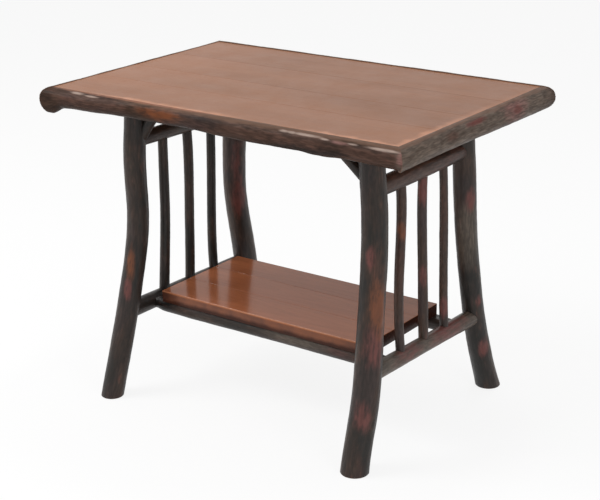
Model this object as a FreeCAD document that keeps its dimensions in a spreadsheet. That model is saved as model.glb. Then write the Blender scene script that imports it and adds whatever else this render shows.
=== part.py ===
import FreeCAD, Part
import os
import re
import Sketcher
from FreeCAD import Placement, Rotation, Vector

# Rustic hickory table: a board top edged with half-round saplings, on four bent hickory legs.
# Each end is a frame of two legs, two rails and three spindles. Two round stretchers join
# the ends near the floor and carry a board shelf. Short diagonal braces steady the top.
# Millimetres. The origin is on the floor under the middle of the top: X runs along the
# table, Y from the front to the back, Z up.

document = FreeCAD.newDocument("rustic_hickory_table")

# Driving sizes: name, value, what it is
DRIVING_SIZES = (
    ("table_height", 736, "floor to the top of the boards"),
    ("field_length", 902, "length of the boards of the top"),
    ("field_width", 594, "width of the boards of the top, all together"),
    ("board_thickness", 22, "thickness of the top boards"),
    ("seam_bevel", 0.6, "small bevel on the long edges of a board"),
    ("edging_width", 45, "usual diameter of the saplings, sawn in half, round the top"),
    ("edging_rise", 2, "how far the proudest edging stands above the boards"),
    ("batten_width", 80, "width of the battens under the top"),
    ("batten_thickness", 22, "thickness of the battens under the top"),
    ("batten_inset", 12, "end of a batten to the edge of the boards"),
    ("leg_end_inset", 108, "end of the boards to the middle of a foot, along the table"),
    ("leg_lean", 27, "how far a leg leans in towards its top, along the table"),
    ("leg_side_inset", 125, "edge of the boards to the top of a leg, across the table"),
    ("foot_kick", 102, "how far a foot is bent out, across the table"),
    ("leg_width", 50, "usual diameter of a leg"),
    ("leg_tenon_width", 30, "diameter of the tenon on top of a leg"),
    ("leg_tenon_length", 20, "length of the tenon on top of a leg"),
    ("upper_rail_drop", 92, "top of a leg to the middle of an upper rail"),
    ("lower_rail_height", 197, "floor to the middle of a lower rail"),
    ("rail_width", 36, "usual diameter of a rail"),
    ("rail_tenon_width", 24, "diameter of a rail's tenon"),
    ("rail_tenon_reach", 6, "how far a rail's tenon passes the middle of the leg"),
    ("spindle_width", 22, "usual diameter of a spindle"),
    ("spindle_shift", 3, "how far the spindles stand to the back"),
    ("spindle_bow", 10, "measure of the natural bend of a spindle"),
    ("spindle_tenon_width", 13, "diameter of a spindle's tenon"),
    ("spindle_tenon_depth", 14, "how deep a spindle's tenon goes into a rail"),
    ("stretcher_width", 38, "usual diameter of a stretcher"),
    ("stretcher_drop", 2, "how much lower a stretcher's middle is than a lower rail's"),
    ("stretcher_flat_depth", 6, "depth of the flat planed on a stretcher for the shelf"),
    ("front_stretcher_inset", 20, "edge of the shelf to the middle of the front stretcher"),
    ("back_stretcher_inset", 11, "edge of the shelf to the middle of the back stretcher"),
    ("stretcher_neck", 20, "length over which a stretcher narrows to meet a rail"),
    ("stretcher_tenon_width", 18, "diameter of a stretcher's tenon"),
    ("stretcher_tenon_reach", 2, "how far a stretcher's tenon passes the middle of the rail"),
    ("shelf_end_room", 46.8, "usual distance from the end of the shelf to the middle of a rail"),
    ("shelf_width_share", 0.849, "width of the shelf as a share of the distance between leg tops"),
    ("shelf_thickness", 28, "thickness of the shelf boards"),
    ("brace_width", 26, "diameter of a brace"),
    ("brace_drop", 112, "underside of the top to where a brace meets the middle of its leg"),
    ("brace_run", 115, "usual distance that a brace reaches in under the top"),
    ("brace_nail_step", 34, "middle of the leg to a brace's lower nail, along the brace's run"),
    ("nail_width", 2.8, "diameter of a nail"),
    ("nail_head_width", 5, "diameter of a nail's head"),
    ("nail_head_thickness", 1.2, "thickness of a nail's head"),
    ("nail_set", 2, "how deep a nail's head is driven"),
    ("edging_nail_length", 48, "length of a nail through the edging"),
    ("tenon_nail_length", 34, "length of a nail through a leg into a rail's tenon"),
    ("leg_nail_length", 52, "length of a nail through a brace into a leg"),
    ("top_nail_length", 30, "length of a nail through a brace into the top"),
    ("screw_width", 4.4, "diameter of a wood screw"),
    ("screw_head_width", 8.4, "diameter of a screw's countersunk head"),
    ("screw_head_height", 3.2, "height of a screw's countersunk head"),
    ("screw_bite", 15, "how deep a screw goes into the board that it holds"),
    ("screw_recess", 8, "depth of the bore that lets a shelf screw into a stretcher"),
    ("scribe_gap", 0.3, "gap between a round piece and the piece cut to fit against it"),
    ("glue_gap", 0.1, "gap round a tenon, nail or screw in its hole"),
    ("end_gap", 1, "gap at the end of a tenon or nail in its hole"),
    ("overrun", 20, "how far a cutting shape runs past what it cuts"),
)

# Natural differences between pieces, as shares of the sizes above
SEAM_SHARES = (0, 0.248, 0.463, 0.719, 1)
SHELF_SEAM_SHARES = (0, 0.35, 0.68, 1)
EDGING_WIDTH_SHARES = {
    "front": (1.2, 1.01, 0.9, 0.79, 0.93, 0.97, 0.95, 0.98, 1.04),
    "back": (1.04, 0.98, 0.94, 0.96, 0.93, 0.97, 0.99, 1.02, 1.2),
    "left": (1.02, 1.05, 1.04, 1.05, 1.04, 1.06, 1.1),
    "right": (1.12, 1.09, 1.08, 1.08, 1.08, 1.1, 1.1),
}
EDGING_RISE_SHARES = {"front": 0, "back": 1, "left": 0.5, "right": 0}
SHELF_SCREW_SHARES = (-0.4, 0, 0.4)
SPREAD_SHARES = {"front_left": 1.008, "front_right": 0.987, "back_right": 1.039, "back_left": 0.969}
LOWER_SHARES = {"front_left": 1, "front_right": 1.008, "back_right": 0.999, "back_left": 1}
UPPER_SHARES = {"front_left": 1.008, "front_right": 0.991, "back_right": 1.003, "back_left": 1.008}
BRACE_RUN_SHARES = {"front_left": 0.75, "front_right": 1.16, "back_right": 1.02, "back_left": 0.96}
KICK_SHARES = {
    "front_left": (1, 0.71, 0.43, 0.18, 0.02, 0.06, 0.09, 0.03),
    "front_right": (0.98, 0.65, 0.385, 0.24, 0.09, -0.02, -0.02, 0),
    "back_right": (1.06, 0.69, 0.41, 0.22, 0.09, 0.03, -0.01, 0.02),
    "back_left": (0.99, 0.72, 0.5, 0.265, 0.05, 0, -0.03, 0),
}
LEG_WIDTH_SHARES = {
    "front_left": (1.06, 1.07, 1.06, 1.05, 1.03, 1.02, 1.02, 1.06),
    "front_right": (1.25, 1.22, 1.19, 1.15, 1.14, 1.13, 1.11, 1.1),
    "back_right": (1.19, 1.07, 1.04, 1.01, 1.01, 1.04, 1.02, 1.03),
    "back_left": (1.1, 1.14, 1.18, 1.15, 1.12, 1.15, 1.19, 1.22),
}
RAIL_STATION_SHARES = (0, 0.15, 0.3, 0.5, 0.7, 0.85, 1)
RAIL_WIDTH_SHARES = {
    "upper_rail_left": (0.96, 0.97, 0.98, 0.97, 0.99, 1, 1),
    "upper_rail_right": (1.1, 1.14, 1.15, 1.12, 1.08, 1.05, 1.05),
    "lower_rail_left": (1.12, 1.11, 1.08, 1.06, 1.05, 1.05, 1.05),
    "lower_rail_right": (1.08, 1.06, 1.03, 1.01, 1.02, 1.06, 1.08),
}
SPINDLE_STATION_SHARES = (0, 0.25, 0.5, 0.75, 1)
SPINDLE_BOW_SHARES = {
    "spindle_left_front": (-0.4, -0.05, 0.15, -0.15, -0.55),
    "spindle_left_middle": (0.35, 0.4, 0.2, 0, -0.9),
    "spindle_left_back": (1, 0.05, -0.25, -0.45, -0.8),
    "spindle_right_front": (-0.4, -0.9, -0.3, 0.85, 0.8),
    "spindle_right_middle": (-0.15, -0.1, -0.05, 0, 0.8),
    "spindle_right_back": (-0.25, -0.45, -0.2, 0.05, -0.15),
}
SPINDLE_WIDTH_SHARES = {
    "spindle_left_front": (1.11, 1.11, 1.08, 1.06, 1.03),
    "spindle_left_middle": (1.07, 1.07, 1.06, 1.06, 1.05),
    "spindle_left_back": (1.02, 1.03, 1, 0.99, 0.97),
    "spindle_right_front": (0.95, 0.94, 0.97, 1, 1),
    "spindle_right_middle": (1.02, 1.02, 0.99, 0.97, 0.95),
    "spindle_right_back": (0.9, 0.89, 0.88, 0.87, 0.86),
}
STRETCHER_STATION_SHARES = (0, 0.25, 0.5, 0.75, 1)
STRETCHER_WIDTH_SHARES = {
    "shelf_stretcher_front": (0.97, 1, 0.98, 1.01, 0.98),
    "shelf_stretcher_back": (0.98, 0.98, 1, 1.01, 0.99),
}
NECK_SHARE = 0.52

LEGS = {"front_left": (-1, -1), "front_right": (1, -1), "back_right": (1, 1), "back_left": (-1, 1)}
ENDS = {"left": -1, "right": 1}
SPINDLE_PLACES = {"front": -1, "middle": 0, "back": 1}

# Turns that point a shape's own Z along an axis of the table
TURNS = {
    "x": {1: Rotation(Vector(0, 1, 0), 90), -1: Rotation(Vector(0, 1, 0), -90)},
    "y": {1: Rotation(Vector(1, 0, 0), -90), -1: Rotation(Vector(1, 0, 0), 90)},
    "z": {1: Rotation(), -1: Rotation(Vector(1, 0, 0), 180)},
}

# Turns that do the same for a ring, and choose the side where the seam of its skin lies
LEG_SEAMS = {across: Rotation(Vector(0, 0, 1), 90 * across) for across in (-1, 1)}
RAIL_SEAMS = {
    level: Rotation(Vector(0, 0, up), Vector(up, 0, 0), Vector(0, 1, 0), "ZXY")
    for level, up in (("lower", -1), ("upper", 1))
}
STRETCHER_SEAM = Rotation(Vector(0, 1, 0), Vector(0, 0, 1), Vector(1, 0, 0), "ZXY")

# Levels and places that several pieces share
UNDERSIDE = "(table_height - board_thickness)"
LEG_TOP = "(table_height - board_thickness - batten_thickness)"
LEG_SPREAD = "(field_length / 2 - leg_end_inset)"
LEG_STANCE = "(field_width / 2 - leg_side_inset)"
BATTEN_PLACE = f"({LEG_SPREAD} - leg_lean)"
STRETCHER_HEIGHT = "(lower_rail_height - stretcher_drop)"
SHELF_UNDERSIDE = f"({STRETCHER_HEIGHT} + stretcher_width / 2 - stretcher_flat_depth)"
SHELF_LENGTH = (f"(2 * ({LEG_SPREAD} - leg_lean * lower_rail_height / {LEG_TOP}"
                " - shelf_end_room))")
SHELF_WIDTH = f"(2 * {LEG_STANCE} * shelf_width_share)"
STRETCHER_PLACES = {
    "front": f"(front_stretcher_inset - {SHELF_WIDTH} / 2)",
    "back": f"({SHELF_WIDTH} / 2 - back_stretcher_inset)",
}


# The sheet of sizes, and how a piece is bound to it

sheet = document.addObject("Spreadsheet::Sheet", "Sizes")
for row, (name, value, note) in enumerate(DRIVING_SIZES, start=1):
    sheet.set(f"A{row}", name)
    sheet.set(f"B{row}", str(value))
    sheet.set(f"C{row}", note)
    sheet.setAlias(f"B{row}", name)
document.recompute()

SIZE_NAMES = {name for name, value, note in DRIVING_SIZES}


def sheet_formula(formula):
    """Turn the sheet's names in a formula into references to its cells."""
    def reference(match):
        word = match.group()
        return f"Sizes.{word}" if word in SIZE_NAMES else word
    return re.sub("[a-z_]+", reference, str(formula))


def bind(thing, **formulas):
    """Bind properties of an object to formulas of the sheet's names."""
    for name, formula in formulas.items():
        thing.setExpression(name, sheet_formula(formula))
    return thing


def place(thing, x=0, y=0, z=0, turn=None):
    """Turn an object, and bind where it stands."""
    thing.Placement = Placement(Vector(), turn or Rotation())
    for axis, formula in zip("xyz", (x, y, z)):
        thing.setExpression(f"Placement.Base.{axis}", sheet_formula(formula))
    return thing


# Plain shapes

SKIN_DEGREE = 3


def circle(name, radius, x, y, z, turn=None):
    ring = bind(document.addObject("Part::Circle", name), Radius=radius)
    return place(ring, x, y, z, turn)


def cylinder(name, radius, length, x, y, z, turn=None):
    rod = bind(document.addObject("Part::Cylinder", name), Radius=radius, Height=length)
    return place(rod, x, y, z, turn)


def box(name, length, width, height, x, y, z, turn=None):
    block = bind(document.addObject("Part::Box", name), Length=length, Width=width, Height=height)
    return place(block, x, y, z, turn)


def loft(name, rings):
    skin = document.addObject("Part::Loft", name)
    skin.Sections = rings
    skin.Solid = True
    skin.MaxDegree = SKIN_DEGREE
    return skin


def joined(name, things):
    if len(things) == 1:
        return things[0]
    union = document.addObject("Part::MultiFuse", name)
    union.Shapes = things
    return union


def cut(name, base, tools):
    """Take tools away from a base. The result carries the piece's own name."""
    result = document.addObject("Part::Cut", name)
    result.Base = base
    result.Tool = joined(f"{name}_cuts", tools)
    return result


# Pieces to hand over, by name, and the holes that fasteners need in them

pieces = {}
holes = {}


def hand_over(name, shape, tools=()):
    """Cut a piece's own joints and its fastener holes, and label it."""
    every_tool = list(tools) + holes.get(name, [])
    piece = cut(name, shape, every_tool) if every_tool else shape
    piece.Label = name
    pieces[name] = piece
    return piece


# Nails and screws

fasteners = {}


def fastener(group, axis, way, point, length, pierced, screw=False):
    """Make one nail or screw from the middle of its head, and note its hole in each piece."""
    number = len(fasteners.setdefault(group, [])) + 1
    name = f"{group}_{number}"
    turn = TURNS[axis][way]
    kind = "screw" if screw else "nail"
    head_height = "screw_head_height" if screw else "nail_head_thickness"
    shank = cylinder(f"{name}_shank", f"{kind}_width / 2", length, *point, turn)
    if screw:
        head = document.addObject("Part::Cone", f"{name}_head")
        bind(head, Radius1="screw_head_width / 2", Radius2="screw_width / 2", Height=head_height)
        place(head, *point, turn)
    else:
        head = cylinder(f"{name}_head", "nail_head_width / 2", head_height, *point, turn)
    whole = document.addObject("Part::Fuse", name)
    whole.Base = shank
    whole.Tool = head
    fasteners[group].append(whole)

    outside = list(point)
    spot = "xyz".index(axis)
    outside[spot] = f"{point[spot]} - {way} * overrun"
    shank_hole = cylinder(f"{name}_hole", f"{kind}_width / 2 + glue_gap", f"{length} + end_gap",
                          *point, turn)
    head_hole = cylinder(f"{name}_sink", f"{kind}_head_width / 2 + glue_gap",
                         f"{head_height} + overrun", *outside, turn)
    for piece in pierced:
        holes.setdefault(piece, []).extend((shank_hole, head_hole))


# Legs: where the middle of a leg runs

LEG_STATIONS = range(len(KICK_SHARES["front_left"]))
LOWER_STATION = 2
UPPER_STATION = 6


def leg_heights(leg):
    """Heights of a leg's stations: foot, both rails, the stretch between them, and the top."""
    lower = f"(lower_rail_height * {LOWER_SHARES[leg]})"
    upper = f"(({LEG_TOP} - upper_rail_drop) * {UPPER_SHARES[leg]})"
    bend = [f"({lower} + ({upper} - {lower}) * {step} / 4)" for step in (1, 2, 3)]
    return ["0", f"({lower} / 2)", lower, *bend, upper, LEG_TOP]


def leg_x(leg, height):
    along, across = LEGS[leg]
    spread = f"{LEG_SPREAD} * {SPREAD_SHARES[leg]}"
    return f"({along} * ({spread} - leg_lean * {height} / {LEG_TOP}))"


def leg_y(leg, station):
    along, across = LEGS[leg]
    return f"({across} * ({LEG_STANCE} + foot_kick * {KICK_SHARES[leg][station]}))"


def leg_radius(leg, station):
    return f"(leg_width / 2 * {LEG_WIDTH_SHARES[leg][station]})"


def leg_point(leg, station):
    height = leg_heights(leg)[station]
    return leg_x(leg, height), leg_y(leg, station), height


def leg_skin(leg, name, growth="0"):
    """A leg's round body, or the same body a little larger, to scribe its neighbours with."""
    rings = []
    for station in LEG_STATIONS:
        radius = f"{leg_radius(leg, station)} + {growth}"
        rings.append(circle(f"{name}_ring_{station}", radius, *leg_point(leg, station),
                            LEG_SEAMS[LEGS[leg][1]]))
    return loft(name, rings)


# Rails: where the middle of a rail runs

RAIL_ENDS = {
    (level, end): (f"front_{end}", f"back_{end}", station)
    for level, station in (("upper", UPPER_STATION), ("lower", LOWER_STATION))
    for end in ENDS
}


def between(low, high, share):
    return f"({low} + ({high} - {low}) * {share})"


def rail_point(level, end, share):
    """A point on the middle of a rail, at a share of the way from front leg to back leg."""
    front, back, station = RAIL_ENDS[level, end]
    lows = leg_point(front, station)
    highs = leg_point(back, station)
    return [between(low, high, share) for low, high in zip(lows, highs)]


def rail_share(level, end, y):
    """How far along a rail a place across the table is."""
    front, back, station = RAIL_ENDS[level, end]
    return f"(({y} - {leg_y(front, station)}) / ({leg_y(back, station)} - {leg_y(front, station)}))"


def rail_skin(level, end, name, growth="0"):
    rings = []
    widths = RAIL_WIDTH_SHARES[f"{level}_rail_{end}"]
    for station, (share, width) in enumerate(zip(RAIL_STATION_SHARES, widths)):
        radius = f"rail_width / 2 * {width} + {growth}"
        point = rail_point(level, end, share)
        rings.append(circle(f"{name}_ring_{station}", radius, *point, RAIL_SEAMS[level]))
    return loft(name, rings)


leg_scribes = {leg: leg_skin(leg, f"leg_{leg}_scribe", "scribe_gap") for leg in LEGS}
rail_scribes = {
    key: rail_skin(*key, f"{key[0]}_rail_{key[1]}_scribe", "scribe_gap") for key in RAIL_ENDS
}


# Boards of the top and the shelf

START_DISTANCE = 1


def rectangle(body, name, x_low, x_high, y_low, y_high):
    """A sketch on the body's own XY plane. It starts as a unit square; the sheet sets its corners."""
    sketch = body.newObject("Sketcher::SketchObject", name)
    planes = [feature for feature in body.Origin.OriginFeatures if feature.Role == "XY_Plane"]
    sketch.AttachmentSupport = [(planes[0], "")]
    sketch.MapMode = "FlatFace"
    unit_corners = (Vector(0, 0), Vector(1, 0), Vector(1, 1), Vector(0, 1))
    corner_formulas = ((x_low, y_low), (x_high, y_low), (x_high, y_high), (x_low, y_high))
    for number, corner in enumerate(unit_corners):
        sketch.addGeometry(Part.LineSegment(corner, unit_corners[number - 3]))
    for number in range(len(unit_corners)):
        following = (number + 1) % len(unit_corners)
        sketch.addConstraint(Sketcher.Constraint("Coincident", number, 2, following, 1))
    for number, formulas in enumerate(corner_formulas):
        for axis, formula in zip("XY", formulas):
            index = sketch.addConstraint(
                Sketcher.Constraint(f"Distance{axis}", -1, 1, number, 1, START_DISTANCE))
            sketch.renameConstraint(index, f"corner_{number}_{axis}")
            sketch.setExpression(f"Constraints.corner_{number}_{axis}", sheet_formula(formula))
    return sketch


def board(name, x_low, x_high, y_low, y_high, z_low, thickness):
    """A sawn board, its long edges bevelled on both faces."""
    body = document.addObject("PartDesign::Body", f"{name}_board")
    sketch = rectangle(body, f"{name}_outline", x_low, x_high, y_low, y_high)
    pad = body.newObject("PartDesign::Pad", f"{name}_pad")
    pad.Profile = sketch
    bind(pad, Length=thickness)
    sketch.Visibility = False
    place(body, z=z_low)
    pad.recompute(True)
    long_edges = []
    for number, edge in enumerate(pad.Shape.Edges, start=1):
        run = edge.Vertexes[-1].Point - edge.Vertexes[0].Point
        if abs(run.x) > abs(run.y) + abs(run.z):
            long_edges.append(f"Edge{number}")
    bevel = body.newObject("PartDesign::Chamfer", f"{name}_bevel")
    bevel.Base = (pad, long_edges)
    bind(bevel, Size="seam_bevel")
    body.Tip = bevel
    return body


def seam_places(width, shares):
    return [f"({width} * ({share} - 0.5))" for share in shares]


# Fasteners come first, so that every piece knows its holes

TOP_BOARDS = [f"top_board_{number + 1}" for number in range(len(SEAM_SHARES) - 1)]
TOP_SEAMS = seam_places("field_width", SEAM_SHARES)
TOP_MIDDLES = [f"(({low} + {high}) / 2)" for low, high in zip(TOP_SEAMS, TOP_SEAMS[1:])]
OUTER_BOARDS = {-1: TOP_BOARDS[0], 1: TOP_BOARDS[-1]}
BRACED_BOARDS = {-1: TOP_BOARDS[:2], 1: TOP_BOARDS[-2:]}

SHELF_BOARDS = [f"shelf_board_{number + 1}" for number in range(len(SHELF_SEAM_SHARES) - 1)]
SHELF_SEAMS = seam_places(SHELF_WIDTH, SHELF_SEAM_SHARES)

NAIL_LEVEL = "(table_height - board_thickness / 2)"
LONG_EDGING_NAIL_STATIONS = (1, 3, 5, 7)
SHORT_EDGING_NAIL_STATIONS = (1, 2, 3, 5)


def edging_radius(side, station):
    return f"(edging_width / 2 * {EDGING_WIDTH_SHARES[side][station]})"


def edging_lift(side):
    """How far an edging stands above the boards."""
    return f"(edging_rise * {EDGING_RISE_SHARES[side]})"


def edging_place(side, station):
    """How far along its side a station of an edging lies, from the middle of the side."""
    length = "field_length" if side in ("front", "back") else "field_width"
    share = station / (len(EDGING_WIDTH_SHARES[side]) - 1) - 0.5
    return f"({share} * ({length} + 2 * edging_width))"


def edging_nail_depth(side, station):
    """How far out from the boards a nail's head lies in the round side of an edging."""
    radius = edging_radius(side, station)
    fall = f"({radius} - board_thickness / 2 - {edging_lift(side)})"
    return f"sqrt({radius} ^ 2 - {fall} ^ 2) - nail_set"


for side, across in (("front", -1), ("back", 1)):
    for station in LONG_EDGING_NAIL_STATIONS:
        start = f"{across} * (field_width / 2 + {edging_nail_depth(side, station)})"
        fastener("edging_nails", "y", -across, (edging_place(side, station), start, NAIL_LEVEL),
                 "edging_nail_length", (f"top_edging_{side}", OUTER_BOARDS[across]))
for end, along in ENDS.items():
    for station, top_board in zip(SHORT_EDGING_NAIL_STATIONS, TOP_BOARDS):
        start = f"{along} * (field_length / 2 + {edging_nail_depth(end, station)})"
        fastener("edging_nails", "x", -along, (start, edging_place(end, station), NAIL_LEVEL),
                 "edging_nail_length", (f"top_edging_{end}", top_board))
    for middle, top_board in zip(TOP_MIDDLES, TOP_BOARDS):
        fastener("batten_screws", "z", 1, (f"{along} * {BATTEN_PLACE}", middle, LEG_TOP),
                 "(batten_thickness + screw_bite)", (f"top_batten_{end}", top_board), screw=True)

for leg, (along, across) in LEGS.items():
    end = leg.split("_")[1]
    for level, station in (("upper", UPPER_STATION), ("lower", LOWER_STATION)):
        x, y, z = leg_point(leg, station)
        start = f"{x} + {along} * ({leg_radius(leg, station)} - nail_set)"
        fastener("tenon_nails", "x", -along, (start, y, z), "tenon_nail_length",
                 (f"leg_{leg}", f"{level}_rail_{end}"))


def brace_line(leg):
    """Where a brace starts on the middle of its leg, how far it runs in, and its true length."""
    along, across = LEGS[leg]
    foot_z = f"({UNDERSIDE} - brace_drop)"
    foot_x = leg_x(leg, foot_z)
    run = f"(brace_run * {BRACE_RUN_SHARES[leg]})"
    true_length = f"sqrt({run} ^ 2 + brace_drop ^ 2)"
    return foot_x, f"({across} * {LEG_STANCE})", foot_z, run, true_length


for leg, (along, across) in LEGS.items():
    x, y, z, run, true_length = brace_line(leg)
    half_flat = f"brace_width / 2 * {true_length} / brace_drop"
    start = f"{x} - {along} * (brace_nail_step + {half_flat} - nail_set)"
    fastener("brace_nails", "x", along, (start, y, f"{z} + brace_nail_step * brace_drop / {run}"),
             "leg_nail_length", (f"brace_{leg}", f"leg_{leg}"))
    half_upright = f"brace_width / 2 * {true_length} / {run}"
    fastener("brace_nails", "z", 1,
             (f"{x} - {along} * {run}", y, f"{UNDERSIDE} - {half_upright} + nail_set"),
             "top_nail_length", (f"brace_{leg}", *BRACED_BOARDS[across]))

for place_name, shelf_board in (("front", SHELF_BOARDS[0]), ("back", SHELF_BOARDS[-1])):
    for share in SHELF_SCREW_SHARES:
        point = (f"{SHELF_LENGTH} * {share}", STRETCHER_PLACES[place_name],
                 f"{STRETCHER_HEIGHT} - stretcher_width / 2 + screw_recess")
        fastener("shelf_screws", "z", 1, point,
                 "(stretcher_width - stretcher_flat_depth - screw_recess + screw_bite)",
                 (f"shelf_stretcher_{place_name}", shelf_board), screw=True)


# Top boards

for number, name in enumerate(TOP_BOARDS):
    body = board(name, "-field_length / 2", "field_length / 2", TOP_SEAMS[number],
                 TOP_SEAMS[number + 1], UNDERSIDE, "board_thickness")
    hand_over(name, body)


# Edging: a sapling sawn in half on each side, mitred at the corners

def edging(side, point, waste, turn, mitres):
    """Loft a round sapling with its top at the boards or just above, and saw off its inner half."""
    name = f"top_edging_{side}"
    rings = []
    for station in range(len(EDGING_WIDTH_SHARES[side])):
        radius = edging_radius(side, station)
        x, y = point(edging_place(side, station))
        height = f"table_height + {edging_lift(side)} - {radius}"
        rings.append(circle(f"{name}_ring_{station}", radius, x, y, height, turn))
    low = "table_height - 2 * edging_width"
    length, width, corner_x, corner_y = waste
    tools = [box(f"{name}_waste", length, width, "3 * edging_width", corner_x, corner_y, low)]
    for number, (corner_x, corner_y, angle) in enumerate(mitres):
        tools.append(box(f"{name}_mitre_{number}", "3 * edging_width", "3 * edging_width",
                         "3 * edging_width", corner_x, corner_y, low,
                         Rotation(Vector(0, 0, 1), angle)))
    hand_over(name, loft(f"{name}_sapling", rings), tools)


for side, across in (("front", -1), ("back", 1)):
    edge = f"{across} * field_width / 2"
    edging(side, lambda x, edge=edge: (x, edge),
           ("field_length + 4 * edging_width", "2 * edging_width",
            "-field_length / 2 - 2 * edging_width", f"{edge} - {across + 1} * edging_width"),
           Rotation(Vector(0, -across, 0), Vector(0, 0, -across), Vector(1, 0, 0), "ZXY"),
           (("field_length / 2", edge, -45), ("-field_length / 2", edge, 135)))
for side, along in ENDS.items():
    edge = f"{along} * field_length / 2"
    edging(side, lambda y, edge=edge: (edge, y),
           ("2 * edging_width", "field_width + 4 * edging_width",
            f"{edge} - {along + 1} * edging_width", "-field_width / 2 - 2 * edging_width"),
           Rotation(Vector(-along, 0, 0), Vector(0, 0, along), Vector(0, 1, 0), "ZXY"),
           ((edge, "field_width / 2", 45), (edge, "-field_width / 2", -135)))


# Battens under the top, bored for the tenons of the legs

for name, along in ENDS.items():
    sawn = board(f"top_batten_{name}", f"{along} * {BATTEN_PLACE} - batten_width / 2",
                 f"{along} * {BATTEN_PLACE} + batten_width / 2",
                 "-field_width / 2 + batten_inset", "field_width / 2 - batten_inset",
                 LEG_TOP, "batten_thickness")
    mortises = []
    for leg in (f"front_{name}", f"back_{name}"):
        x, y, z = leg_point(leg, LEG_STATIONS[-1])
        mortises.append(cylinder(f"top_batten_{name}_{leg}_mortise",
                                 "leg_tenon_width / 2 + glue_gap",
                                 "batten_thickness + 2 * overrun", x, y, f"{z} - overrun"))
    hand_over(f"top_batten_{name}", sawn, mortises)


# Legs, with a tenon on top and a mortise for each rail

for leg, (along, across) in LEGS.items():
    name = f"leg_{leg}"
    x, y, z = leg_point(leg, LEG_STATIONS[-1])
    tenon = cylinder(f"{name}_tenon", "leg_tenon_width / 2", "leg_tenon_length + overrun",
                     x, y, f"{z} - overrun")
    shaped = joined(f"{name}_shaped", [leg_skin(leg, f"{name}_pole"), tenon])
    mortises = []
    for level, station in (("upper", UPPER_STATION), ("lower", LOWER_STATION)):
        x, y, z = leg_point(leg, station)
        start = f"{y} + {across} * (rail_tenon_reach + end_gap)"
        mortises.append(cylinder(
            f"{name}_{level}_mortise", "rail_tenon_width / 2 + glue_gap",
            f"rail_tenon_reach + end_gap + {leg_radius(leg, station)} + overrun",
            x, start, z, TURNS["y"][-across]))
    hand_over(name, shaped, mortises)


# Rails, scribed to the legs, with tenons, and with mortises for spindles and stretchers

def spindle_place(place_name):
    """Where a spindle stands: they divide the distance between the tops of the legs evenly."""
    return f"(spindle_shift + {LEG_STANCE} / 2 * {SPINDLE_PLACES[place_name]})"


def spindle_ends(end, place_name):
    """Where the middle line of a spindle meets the middle of the lower and the upper rail."""
    bow_shares = SPINDLE_BOW_SHARES[f"spindle_{end}_{place_name}"]
    points = []
    for level, bow_share in (("lower", bow_shares[0]), ("upper", bow_shares[-1])):
        y = f"({spindle_place(place_name)} + spindle_bow * {bow_share})"
        x, rail_y, z = rail_point(level, end, rail_share(level, end, y))
        points.append((x, y, z))
    return points


def stretcher_end(end, place_name):
    """Where a stretcher's middle line meets the middle of a lower rail."""
    y = STRETCHER_PLACES[place_name]
    x, rail_y, z = rail_point("lower", end, rail_share("lower", end, y))
    return x, y, STRETCHER_HEIGHT


for (level, end), (front, back, station) in RAIL_ENDS.items():
    name = f"{level}_rail_{end}"
    barrel = cut(f"{name}_barrel", rail_skin(level, end, f"{name}_pole"),
                 [leg_scribes[front], leg_scribes[back]])
    tenons = []
    for leg in (front, back):
        across = LEGS[leg][1]
        x, y, z = leg_point(leg, station)
        tenons.append(cylinder(
            f"{name}_{leg}_tenon", "rail_tenon_width / 2",
            f"rail_tenon_reach + {leg_radius(leg, station)} + overrun",
            x, f"{y} + {across} * rail_tenon_reach", z, TURNS["y"][-across]))
    shaped = joined(f"{name}_shaped", [barrel, *tenons])
    mortises = []
    for place_name in SPINDLE_PLACES:
        lower_point, upper_point = spindle_ends(end, place_name)
        x, y, z = lower_point if level == "lower" else upper_point
        inward = 1 if level == "lower" else -1
        start = f"{z} + {inward} * (rail_width / 2 - spindle_tenon_depth - end_gap)"
        mortises.append(cylinder(
            f"{name}_{place_name}_mortise", "spindle_tenon_width / 2 + glue_gap",
            "spindle_tenon_depth + end_gap + overrun", x, y, start, TURNS["z"][inward]))
    if level == "lower":
        along = ENDS[end]
        for place_name in STRETCHER_PLACES:
            x, y, z = stretcher_end(end, place_name)
            start = f"{x} + {along} * (stretcher_tenon_reach + end_gap)"
            mortises.append(cylinder(
                f"{name}_{place_name}_stretcher_mortise", "stretcher_tenon_width / 2 + glue_gap",
                "stretcher_tenon_reach + end_gap + rail_width / 2 + overrun",
                start, y, z, TURNS["x"][-along]))
    hand_over(name, shaped, mortises)


# Spindles, scribed to the rails, with a tenon at each end

for end in ENDS:
    for place_name in SPINDLE_PLACES:
        name = f"spindle_{end}_{place_name}"
        low, high = spindle_ends(end, place_name)
        stations = zip(SPINDLE_STATION_SHARES, SPINDLE_BOW_SHARES[name], SPINDLE_WIDTH_SHARES[name])
        rings = []
        for number, (share, bow_share, width_share) in enumerate(stations):
            x = between(low[0], high[0], share)
            y = f"{spindle_place(place_name)} + spindle_bow * {bow_share}"
            z = between(low[2], high[2], share)
            rings.append(circle(f"{name}_ring_{number}", f"spindle_width / 2 * {width_share}", x, y, z))
        barrel = cut(f"{name}_barrel", loft(f"{name}_pole", rings),
                     [rail_scribes["lower", end], rail_scribes["upper", end]])
        tenons = []
        for point, inward in ((low, 1), (high, -1)):
            x, y, z = point
            start = f"{z} + {inward} * (rail_width / 2 - spindle_tenon_depth)"
            tenons.append(cylinder(f"{name}_tenon_{len(tenons)}", "spindle_tenon_width / 2",
                                   "spindle_tenon_depth + overrun / 2", x, y, start,
                                   TURNS["z"][inward]))
        hand_over(name, joined(f"{name}_shaped", [barrel, *tenons]))


# Stretchers, scribed to the lower rails, with tenons, and planed flat under the shelf

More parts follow.
